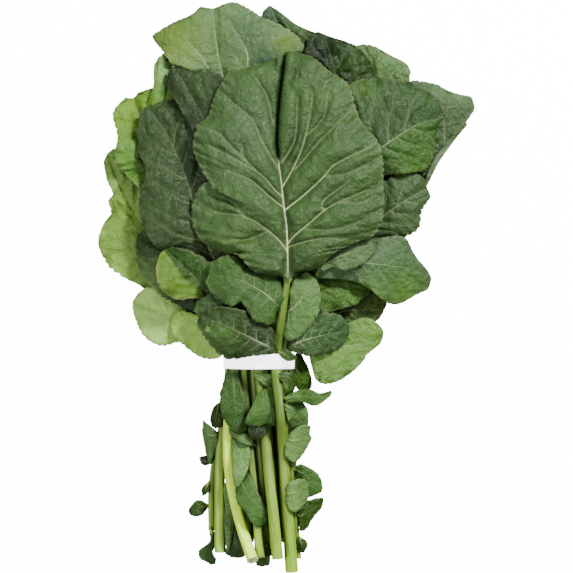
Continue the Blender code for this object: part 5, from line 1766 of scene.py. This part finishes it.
    def cut_in(self, slit):
        """Parts the blade along a row, and lays the far side over the near one."""
        row = int(slit.along * (len(self.t) - 1))
        out = np.clip((slit.side * self.u - slit.inner) / (1 - slit.inner), 0, 1)
        ahead = (self.t - self.t[row]) / 0.07
        beyond = np.where(ahead > 0, np.exp(-ahead), 0)[:, None] * out[None] ** 0.7
        before = np.where(ahead <= 0, np.exp(ahead), 0)[:, None] * out[None] ** 0.7
        rib = self.plan[:, self.rib_column]
        back = unit(rib[max(row - 4, 0)] - rib[row])
        self.points[..., :2] += back * (slit.overlap * beyond)[..., None]
        self.points[..., 2] += slit.lift * (beyond - 0.4 * before)
        cut = out > 0.02
        self.kept[row] &= ~(cut[1:] & cut[:-1])

    def rib_size(self):
        """The rib's half width, and how far it stands above and below the blade's middle surface."""
        start = self.base_radius
        along = self.t * self.rib_length
        width = self.look.rib * start * (0.42 + 0.58 * np.exp(-along / 16)) * (1 - 0.8 * self.t)
        above = 0.45 + (start - 0.45) * np.exp(-along / 7)
        below = SKIN_THICKNESS / 2 + start * 0.85 * (1 - self.t) ** 0.9 + 0.1
        return width, above, below

    def depth(self):
        """How far the veins and the rib reach below the blade's middle surface."""
        below = SKIN_THICKNESS / 2 + 0.5 * np.exp(-((self.near / 1.2) ** 2))
        beside = np.abs(np.arange(self.points.shape[1]) - self.rib_column) <= 1
        return np.where(beside[None, :], np.maximum(below, self.rib_size()[2][:, None]), below)

    def lift_over(self, pile):
        """Lifts the blade wherever its relief would run into what lies below it."""
        lower = self.points.copy()
        lower[..., 2] -= self.depth()
        spots = samples(lower, 0, len(lower) - 1).reshape(-1, 3)
        need = np.full(pile.tops.shape, -np.inf)
        np.maximum.at(need, pile.cells(spots), pile.room_needed(spots))
        rise = np.maximum(envelope(need, FINE_REACH), 0)
        held = np.clip(self.t / 0.08, 0, 1)[:, None]
        self.points[..., 2] += pile.read(rise, self.points) * held

    def layers(self):
        """The grids of the finished blade, with its holes and its rolled edge."""
        kept = self.kept
        for x, y, radius in self.look.holes:
            away = np.hypot(self.plan[..., 0] - x, self.plan[..., 1] - y)
            kept = kept & ((away[1:, 1:] + away[:-1, :-1]) / 2 > radius)
        rim = np.broadcast_to(np.abs(self.u) ** 50, self.plan.shape[:2])
        own = {
            "points": self.points, "plan": self.plan, "kept": kept,
            "halo": self.halo, "rim": rim, "tint": self.tint,
        }
        if not self.look.flap:
            return own
        roll = self.rolled_edge(self.look.flap)
        return {name: np.concatenate([own[name], roll[name]], axis=1) for name in own}

    def rolled_edge(self, flap):
        """The grids of the rolled right margin, from the margin outwards."""
        share = np.clip((self.t - flap.start) / (flap.end - flap.start), 0, 1)
        width = flap.width * np.sin(math.pi * share) ** 0.5
        run = width[:, None] * np.arange(1, FLAP_STEPS + 1) / FLAP_STEPS
        bend = np.minimum(run / flap.radius, math.radians(flap.turn))
        rest = run - bend * flap.radius
        out = flap.radius * np.sin(bend) + rest * np.cos(bend)
        high = flap.radius * (1 - np.cos(bend)) + rest * np.sin(bend)
        edge = self.points[:, -1]
        outward = unit(edge - self.points[:, -3])[:, None]
        points = edge[:, None] + outward * out[..., None]
        points[..., 2] += high
        wide = (width[1:] > 0.4) & (width[:-1] > 0.4)
        return {
            "points": points,
            "plan": self.plan[:, -1:] + outward[..., :2] * run[..., None],
            "kept": np.repeat(wide[:, None], FLAP_STEPS, axis=1),
            "halo": np.zeros(run.shape),
            "rim": np.zeros(run.shape),
            "tint": np.repeat(self.tint[:, -1:], FLAP_STEPS, axis=1),
        }


def stalk_path(sheet):
    """A smooth line through the stalk's stations, with its radius at each point."""
    count = sheet.stalk_stations
    stations = sheet.middle[:count]
    across = np.linalg.norm(sheet.top[:count, 0] - sheet.top[:count, -1], axis=1) / 2
    radii = across / math.cos(math.pi / 2 / sheet.top.shape[1])
    if count < 3:
        return stations, radii
    length = distances_along(stations)
    wanted = np.linspace(0, length[-1], max(int(length[-1] / STALK_STEP_FINE), 4))
    values = hermite(length, np.column_stack([stations, radii]), wanted)
    return values[:, :3], values[:, 3]


def add_stalk(skin, blade, path, radii, slot, lean, hollow):
    """The stalk and the rib that goes on from it. Returns the points along their tops."""
    look = blade.look
    rib = blade.points[:, blade.rib_column]
    skip = max(int(RIB_STEP / step_of(look)), 1)
    whole = np.vstack([path, rib[1::skip], rib[-1:]])
    keep = np.concatenate([[True], np.linalg.norm(np.diff(whole, axis=0), axis=1) > 0.2])
    whole = whole[keep]
    widths, ups, downs = (
        np.concatenate([radii, values[1::skip], values[-1:]])[keep] for values in blade.rib_size()
    )
    stalk = np.arange(len(whole)) <= len(path) + 1
    ribbed = np.arange(len(whole)) >= len(path) - 1
    thick = radii[0] > THICK_RADIUS
    paleness = np.clip((PALE_FROM - whole[stalk, 1]) / PALE_OVER, 0, 1) ** 1.3
    add_tube(
        skin, whole[stalk], widths[stalk], ups[stalk], downs[stalk], STALK_SIDES if thick else THIN_SIDES,
        slot, blade.seed, paleness, FLUTE if thick else 0.0, lean, hollow,
    )
    along = np.linspace(0, 1, ribbed.sum())
    fade = look.pale * np.clip(1.25 - 1.1 * along, 0.2, 1) * np.clip(6 * along - 0.15, 0, 1)
    add_tube(
        skin, whole[ribbed], widths[ribbed] * 0.96, ups[ribbed], downs[ribbed], THIN_SIDES,
        look.tone + "_upper", blade.seed, fade,
    )
    whole[:, 2] += ups
    return whole


def add_veins(skin, blade):
    """Raised tubes along the veins. Twigs stay under the upper side and show underneath."""
    look = blade.look
    for t, u, width, rank in blade.veins:
        line = blade.at(t, u, blade.points)
        if np.linalg.norm(line[-1] - line[0]) < SHORTEST_VEIN:
            continue
        above = SKIN_THICKNESS / 2 + (0.05 + 0.2 * width if rank == 1 else np.full(len(width), -0.05))
        below = SKIN_THICKNESS / 2 + 0.1 + 0.5 * width
        strength = 0.7 * min(max(width[0] / 0.62, 0.4), 1) if rank == 1 else 0.12
        strength = strength * (1 - 0.9 * np.linspace(0, 1, len(line)) ** 0.7)
        add_tube(
            skin, line, width, above, below, VEIN_SIDES, look.tone + "_upper", blade.seed,
            look.pale * strength, tint=blade.at(t, u, blade.tint),
        )


def draw_blade(skin, part, sheet, look, pile, seed, slot="stalk", lean=0.0, hollow=False):
    """Adds one stalk with its rib, its blade and its veins, and lays it on the pile."""
    path, radii = stalk_path(sheet)
    blade = Blade(part, sheet, look, seed, radii[-1])
    blade.lift_over(pile)
    stalk_tops = add_stalk(skin, blade, path, radii, slot, lean, hollow)
    layers = blade.layers()
    end = path[-1]
    base = layers["points"][0]
    flat_base = layers["plan"][0]
    root = end + (base - blade.points[0, blade.rib_column]) * JOINT_NARROWING
    flat_root = end[:2] + (flat_base - flat_base.mean(axis=0)) * JOINT_NARROWING
    share = np.array(JOINT_SHARES)[:, None, None]
    joint = {"points": root + (base - root) * share, "plan": flat_root + (flat_base - flat_root) * share}
    for name, layer in layers.items():
        first = joint.get(name, np.repeat(layer[:1], len(JOINT_SHARES), axis=0))
        layers[name] = np.concatenate([first, layer])
    points = layers["points"]
    flat = np.dstack([layers["plan"], np.full(points.shape[:2], seed * 13.0)])
    marks = {name: layers[name] for name in ("halo", "rim", "tint")}
    add_grid(skin, points, layers["kept"], flat, marks, look.tone + "_upper", look.tone + "_lower")
    pile.add(samples(points, 0, len(points) - 1))
    add_veins(skin, blade)
    pile.add(stalk_tops)


def lobe_look(leaf, lobe):
    """A lobe's look: its own tone, with finer teeth and fewer veins than a leaf."""
    look = LOBE_LOOKS[(leaf.name, lobe.root)]
    if lobe.columns == NARROW:
        return replace(
            look, step=1.1, laterals=3, tooth=0.6, pitch=5.0, quilt=0.4, pucker=look.pucker * 0.28,
            frill=0.5, vein=0.4, pale=0.2,
        )
    return replace(
        look, tooth=1.0, pitch=7.0, quilt=0.6, pucker=look.pucker * 0.45, frill=0.5, vein=0.6,
        pale=0.2 if lobe.root < WAIST_Y else 0.5,
    )


class Nodes:
    """A short way to write a material's nodes."""

    def __init__(self, name):
        self.material = bpy.data.materials.new(name)
        self.material.use_nodes = True
        self.tree = self.material.node_tree
        self.shader = self.tree.nodes["Principled BSDF"]

    def set(self, **sockets):
        """Links or sets sockets of the shader. An underscore stands for a space."""
        for name, value in sockets.items():
            self.put(self.shader.inputs[name.replace("_", " ")], value)

    def put(self, socket, value):
        """Links a node's output to a socket, or sets the socket to a plain value."""
        if hasattr(value, "is_output"):
            self.tree.links.new(value, socket)
        else:
            socket.default_value = value

    def add(self, kind, **sockets):
        """A new node, with its sockets linked or set."""
        node = self.tree.nodes.new(kind)
        for name, value in sockets.items():
            self.put(node.inputs[name.replace("_", " ")], value)
        return node

    def attribute(self, name, output="Fac"):
        """One of the marks that a piece's points carry."""
        node = self.add("ShaderNodeAttribute")
        node.attribute_name = name
        return node.outputs[output]

    def mix(self, share, first, second, blend="MIX"):
        """The first colour with a share of the second over it."""
        node = self.add("ShaderNodeMix")
        node.data_type = "RGBA"
        node.blend_type = blend
        self.put(node.inputs["Factor"], share)
        self.put(node.inputs["A"], first)
        self.put(node.inputs["B"], second)
        return node.outputs["Result"]

    def math(self, operation, first, second):
        """One operation on two numbers."""
        node = self.add("ShaderNodeMath")
        node.operation = operation
        self.put(node.inputs[0], first)
        self.put(node.inputs[1], second)
        return node.outputs[0]

    def span(self, value, low, high, to_low=0.0, to_high=1.0):
        """The value, stretched from one span to another and held inside it."""
        ends = {"From_Min": low, "From_Max": high, "To_Min": to_low, "To_Max": to_high}
        return self.add("ShaderNodeMapRange", Value=value, **ends).outputs["Result"]

    def noise(self, place, scale, detail=2.0):
        """Soft noise between 0 and 1."""
        return self.add("ShaderNodeTexNoise", Vector=place, Scale=scale, Detail=detail).outputs["Fac"]

    def cells(self, place, scale):
        """How far a place is from the edge of its cell."""
        node = self.add("ShaderNodeTexVoronoi", Vector=place, Scale=scale)
        node.feature = "DISTANCE_TO_EDGE"
        return node.outputs["Distance"]

    def with_painted_corner_shade(self, colour):
        """The colour with painted shade: darker where surfaces stand close together."""
        # Painted shade: ambient occlusion darkens the paint where other surfaces stand close by
        node = self.add("ShaderNodeAmbientOcclusion", Distance=PAINTED_SHADE_REACH)
        node.samples = 6
        open_share = self.span(node.outputs["AO"], 0.15, 0.85, DARKEST_PAINTED_SHADE, 1.0)
        grey = self.add("ShaderNodeCombineColor", Red=open_share, Green=open_share, Blue=open_share)
        return self.mix(1.0, colour, grey.outputs["Color"], "MULTIPLY")

    def bump(self, height, strength, distance):
        """A normal that leans as if the surface had this relief."""
        node = self.add("ShaderNodeBump", Height=height, Strength=strength, Distance=distance)
        return node.outputs["Normal"]


def shade(colour, share=1.0):
    """A paint, made darker or lighter by a share."""
    return (*(value * share for value in colour), 1.0)


def toward(first, second, share):
    """The paint a share of the way from the first to the second."""
    return tuple(a + (b - a) * share for a, b in zip(first, second))


def leaf_material(name, base, vein):
    """A waxy leaf: blotches, a net of fine creases that are bumped and darkened as painted shade, pale
    veins where the halo is high, a thin rim, and painted shade in corners.
    """
    made = Nodes(name)
    place = made.attribute("skin", "Vector")
    halo = made.attribute("halo")
    rim = made.attribute("rim")
    blotch = made.span(made.noise(place, BLOTCH, 3.0), 0.35, 0.65)
    mottle = made.span(made.noise(place, MOTTLE, 3.0), 0.3, 0.7)
    net = made.span(made.cells(place, NET), 0.0, 0.11, 1.0, 0.0)
    fine = made.span(made.cells(place, FINE_NET), 0.0, 0.16, 1.0, 0.0)
    colour = made.mix(blotch, shade(base, 0.86), shade(base, 1.16))
    # The net and the fine net darken the paint along their creases, as painted crease shade
    for mask, strength, paint in (
        (mottle, 0.5, shade(base, 0.8)),
        (net, 0.07, shade(base, 0.6)),
        (fine, 0.12, shade(base, 0.75)),
        (rim, 0.12, shade(vein, 0.8)),
    ):
        colour = made.mix(made.math("MULTIPLY", mask, strength), colour, paint)
    colour = made.mix(1.0, colour, made.attribute("tint", "Vector"), "MULTIPLY")
    colour = made.mix(halo, colour, shade(vein))
    swell = made.noise(place, SWELL, 2.0)
    height = made.math("ADD", made.math("MULTIPLY", net, -0.1), made.math("MULTIPLY", fine, -0.06))
    height = made.math("ADD", height, made.math("MULTIPLY", swell, 2.4))
    made.set(
        Base_Color=made.with_painted_corner_shade(colour), Roughness=made.span(mottle, 0.0, 1.0, 0.36, 0.52),
        Specular_IOR_Level=0.22, Normal=made.bump(height, 1.0, 0.0012),
    )
    return made.material


def stalk_material(name, base, streak, end, roughness=0.42, with_painted_shade=True):
    """A juicy stalk, streaked along its length, paler towards its cut end, and with painted shade in its
    corners or without.
    """
    made = Nodes(name)
    halo = made.attribute("halo")
    place = made.attribute("skin", "Vector")
    stretch = made.add("ShaderNodeMapping", Vector=place, Scale=(1.0, STREAK_STRETCH, 1.0))
    lines = made.noise(stretch.outputs["Vector"], STREAKS, 3.0)
    streaks = made.span(lines, 0.38, 0.66)
    patches = made.span(made.noise(place, STALK_PATCHES, 2.0), 0.4, 0.7, 0.0, 0.6)
    colour = made.mix(streaks, shade(base), shade(streak))
    colour = made.mix(patches, colour, shade(base, 1.3))
    colour = made.mix(halo, colour, made.mix(streaks, shade(end), shade(base, 1.6)))
    made.set(
        Base_Color=made.with_painted_corner_shade(colour) if with_painted_shade else colour,
        Roughness=made.span(lines, 0.3, 0.7, roughness, roughness + 0.12),
        Specular_IOR_Level=0.4, Normal=made.bump(lines, 0.4, 0.0006),
    )
    return made.material


def paper_material():
    """Plain white paper with a faint grain, which glows as painted light."""
    made = Nodes("paper")
    place = made.add("ShaderNodeTexCoord").outputs["Object"]
    grain = made.noise(place, 1500.0, 3.0)
    cloud = made.span(made.noise(place, 120.0, 2.0), 0.35, 0.65)
    made.set(
        Base_Color=made.mix(cloud, (0.90, 0.92, 0.91, 1.0), (0.95, 0.96, 0.95, 1.0)),
        Roughness=made.span(grain, 0.3, 0.7, 0.55, 0.68),
        # Painted light: the band glows though it is no lamp, which makes it brighter than the lamps would
        Emission_Color=(0.95, 1.0, 0.96, 1.0), Emission_Strength=PAPER_PAINTED_GLOW,
        Normal=made.bump(grain, 0.15, 0.0003),
    )
    return made.material


def floor_material():
    """A plain white studio floor that glows, like a lit table for packshots."""
    made = Nodes("floor")
    cloud = made.noise(made.add("ShaderNodeTexCoord").outputs["Object"], 3.0, 2.0)
    made.set(
        Base_Color=made.mix(cloud, shade(WHITE, 0.93), shade(WHITE, 0.95)), Roughness=0.8,
        Emission_Color=shade(WHITE), Emission_Strength=FLOOR_GLOW,
    )
    return made.material


def table_material():
    """A plain grey table under the floor, which keeps light from coming from below."""
    made = Nodes("table")
    made.set(Base_Color=(0.35, 0.36, 0.34, 1.0), Roughness=0.9)
    return made.material


def make_materials():
    """The materials of every tone, of the stalks and of the tie, by name."""
    made = {}
    for tone, (upper, paleness) in TONES.items():
        vein = toward(upper, PALE_VEIN, 0.15 + 0.85 * paleness)
        lower = toward(upper, UNDERSIDE, 0.4)
        made[tone + "_upper"] = leaf_material(tone + "_upper", upper, vein)
        made[tone + "_lower"] = leaf_material(tone + "_lower", lower, vein)
    made["stalk"] = stalk_material("stalk", STALK_TONE, STALK_STREAK, STALK_END)
    made["bright_stalk"] = stalk_material("bright_stalk", BRIGHT_STALK, BRIGHT_STREAK, STALK_END)
    # The pale stalk goes without the painted corner shade
    made["pale_stalk"] = stalk_material("pale_stalk", PALE_STALK, PALE_STREAK, PALE_END, with_painted_shade=False)
    made["cut"] = stalk_material("cut", CUT_TONE, STALK_TONE, CUT_TONE, roughness=0.6)
    made["paper"] = paper_material()
    return made


def fine_tie(outline):
    """The paper band, smooth round the stalks and waved a little along its edges."""
    steps = np.linspace(0, 1, TIE_AROUND, endpoint=False)
    corners = np.vstack([outline[-1:], outline, outline[:2]])
    closed, _ = smooth_path(corners, np.linspace(0, 1, TIE_DENSE))
    away = np.linalg.norm(closed - outline[0], axis=1)
    last = TIE_DENSE - TIE_SEAM
    ring = closed[np.argmin(away[:TIE_SEAM]) : last + np.argmin(away[last:])]
    wanted = steps * len(ring)
    index = np.arange(len(ring) + 1)
    ring = np.column_stack([np.interp(wanted, index, np.append(axis, axis[0])) for axis in ring.T])
    outward = np.roll(ring, -1, axis=0) - np.roll(ring, 1, axis=0)
    outward = unit(np.column_stack([outward[:, 1], -outward[:, 0]]))
    rings = []
    for shift in (0.0, TIE_THICKNESS * 0.6):
        for share in np.linspace(-0.5, 0.5, TIE_ACROSS):
            wave = TIE_WAVE * np.sin(3 * math.tau * steps + 4 * share)
            x, z = (ring + outward * (shift + TIE_STAND)).T
            y = WAIST_Y + share * TIE_WIDTH + wave * abs(share)
            rings.append(np.column_stack([x, y, z]))
    points = np.vstack(rings)
    number = np.arange(len(points)).reshape(2, TIE_ACROSS, TIE_AROUND)
    after = np.roll(number, -1, axis=2)
    inner = np.dstack([number[0, :-1], after[0, :-1], after[0, 1:], number[0, 1:]]).reshape(-1, 4)
    outer = np.dstack([number[1, :-1], number[1, 1:], after[1, 1:], after[1, :-1]]).reshape(-1, 4)
    front = np.column_stack([number[0, 0], number[1, 0], after[1, 0], after[0, 0]])
    back = np.column_stack([number[0, -1], after[0, -1], after[1, -1], number[1, -1]])
    faces = np.vstack([inner, outer, front, back])
    skin = Skin()
    skin.add(points, [faces], [skin.slot("paper")] * len(faces), points)
    return skin.piece("paper_tie_fine")


def lay_coarsely():
    """The solids' own sheets, laid down leaf by leaf, with their lobes and the tie's outline."""
    pile = Pile()
    laid = []
    sheets = []
    for leaf in LEAVES:
        sheet = leaf_sheet(leaf)
        drape(sheet, pile, leaf.shape.stiff)
        sheets.append(sheet)
        if leaf is LEAVES[-1]:
            outline = tie_outline(sheets)
            pile.add(tie_top(outline))
        under = lay_lobes(leaf, sheet, pile, under=True)
        if under:
            ride_over(sheet, under)
        add_to(pile, sheet)
        over = lay_lobes(leaf, sheet, pile, under=False)
        laid.append((leaf, sheet, under, over))
    return laid, outline


def draw_leaves(laid):
    """One finely drawn piece for each leaf."""
    pile = Pile()
    pile.gap = np.full(pile.tops.shape, FINE_GAP)
    pieces = {}
    for number, (leaf, sheet, under, over) in enumerate(laid):
        skin = Skin()
        for index, (lobe, lobe_laid) in enumerate(under):
            draw_blade(skin, lobe, lobe_laid, lobe_look(leaf, lobe), pile, number * 10 + index)
        look = replace(LOOKS[leaf.name], tone=leaf.name)
        hollow = leaf.name == HOLLOW_LEAF
        draw_blade(skin, leaf, sheet, look, pile, 300 + number, look.stalk, CUT_LEAN, hollow)
        for index, (lobe, lobe_laid) in enumerate(over):
            draw_blade(skin, lobe, lobe_laid, lobe_look(leaf, lobe), pile, number * 10 + 5 + index)
        pieces[leaf.name] = skin.piece(leaf.name + "_fine")
    return pieces


def add_object(name, data):
    """A new object of the scene."""
    thing = bpy.data.objects.new(name, data)
    bpy.context.scene.collection.objects.link(thing)
    return thing


def add_light(name, place, size, power):
    """A round lamp that looks at the middle of the bunch."""
    data = bpy.data.lights.new(name, "AREA")
    data.shape = "DISK"
    data.size = size
    data.energy = power
    data.color = WHITE
    light = add_object(name, data)
    light.location = place
    light.rotation_euler = (-Vector(place)).to_track_quat("-Z", "Y").to_euler()


def add_plate(name, height, material):
    """A wide flat plate, which is stage and no part of the bunch."""
    reach = PLATE_REACH
    mesh = bpy.data.meshes.new(name)
    corners = [(-reach, -reach), (reach, -reach), (reach, reach), (-reach, reach)]
    mesh.from_pydata([(x, y, height) for x, y in corners], [], [(0, 1, 2, 3)])
    mesh.materials.append(material)
    plate = add_object(name, mesh)
    return plate


def add_studio():
    """A white floor, a pale sky, soft lamps and the camera straight above."""
    floor = add_plate("floor", FLOOR_HEIGHT, floor_material())
    floor.visible_diffuse = False
    floor.visible_glossy = False
    floor.visible_transmission = False
    add_plate("table", TABLE_HEIGHT, table_material())
    world = bpy.data.worlds.new("sky")
    world.use_nodes = True
    sky = world.node_tree.nodes["Background"]
    sky.inputs["Color"].default_value = shade(WHITE)
    sky.inputs["Strength"].default_value = SKY
    bpy.context.scene.world = world
    add_light("key", KEY_PLACE, KEY_SIZE, KEY_POWER)
    add_light("fill", FILL_PLACE, FILL_SIZE, FILL_POWER)
    data = bpy.data.cameras.new("camera")
    data.sensor_width = CAMERA_SENSOR
    data.lens = CAMERA_LENS
    camera = add_object("camera", data)
    camera.location = CAMERA_PLACE
    bpy.context.scene.camera = camera


MATERIALS = make_materials()
laid, outline = lay_coarsely()
for name, piece in draw_leaves(laid).items():
    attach(piece, "root")
    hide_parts(name)
tie = fine_tie(outline)
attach(tie, "root")
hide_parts("paper_tie")
add_studio()
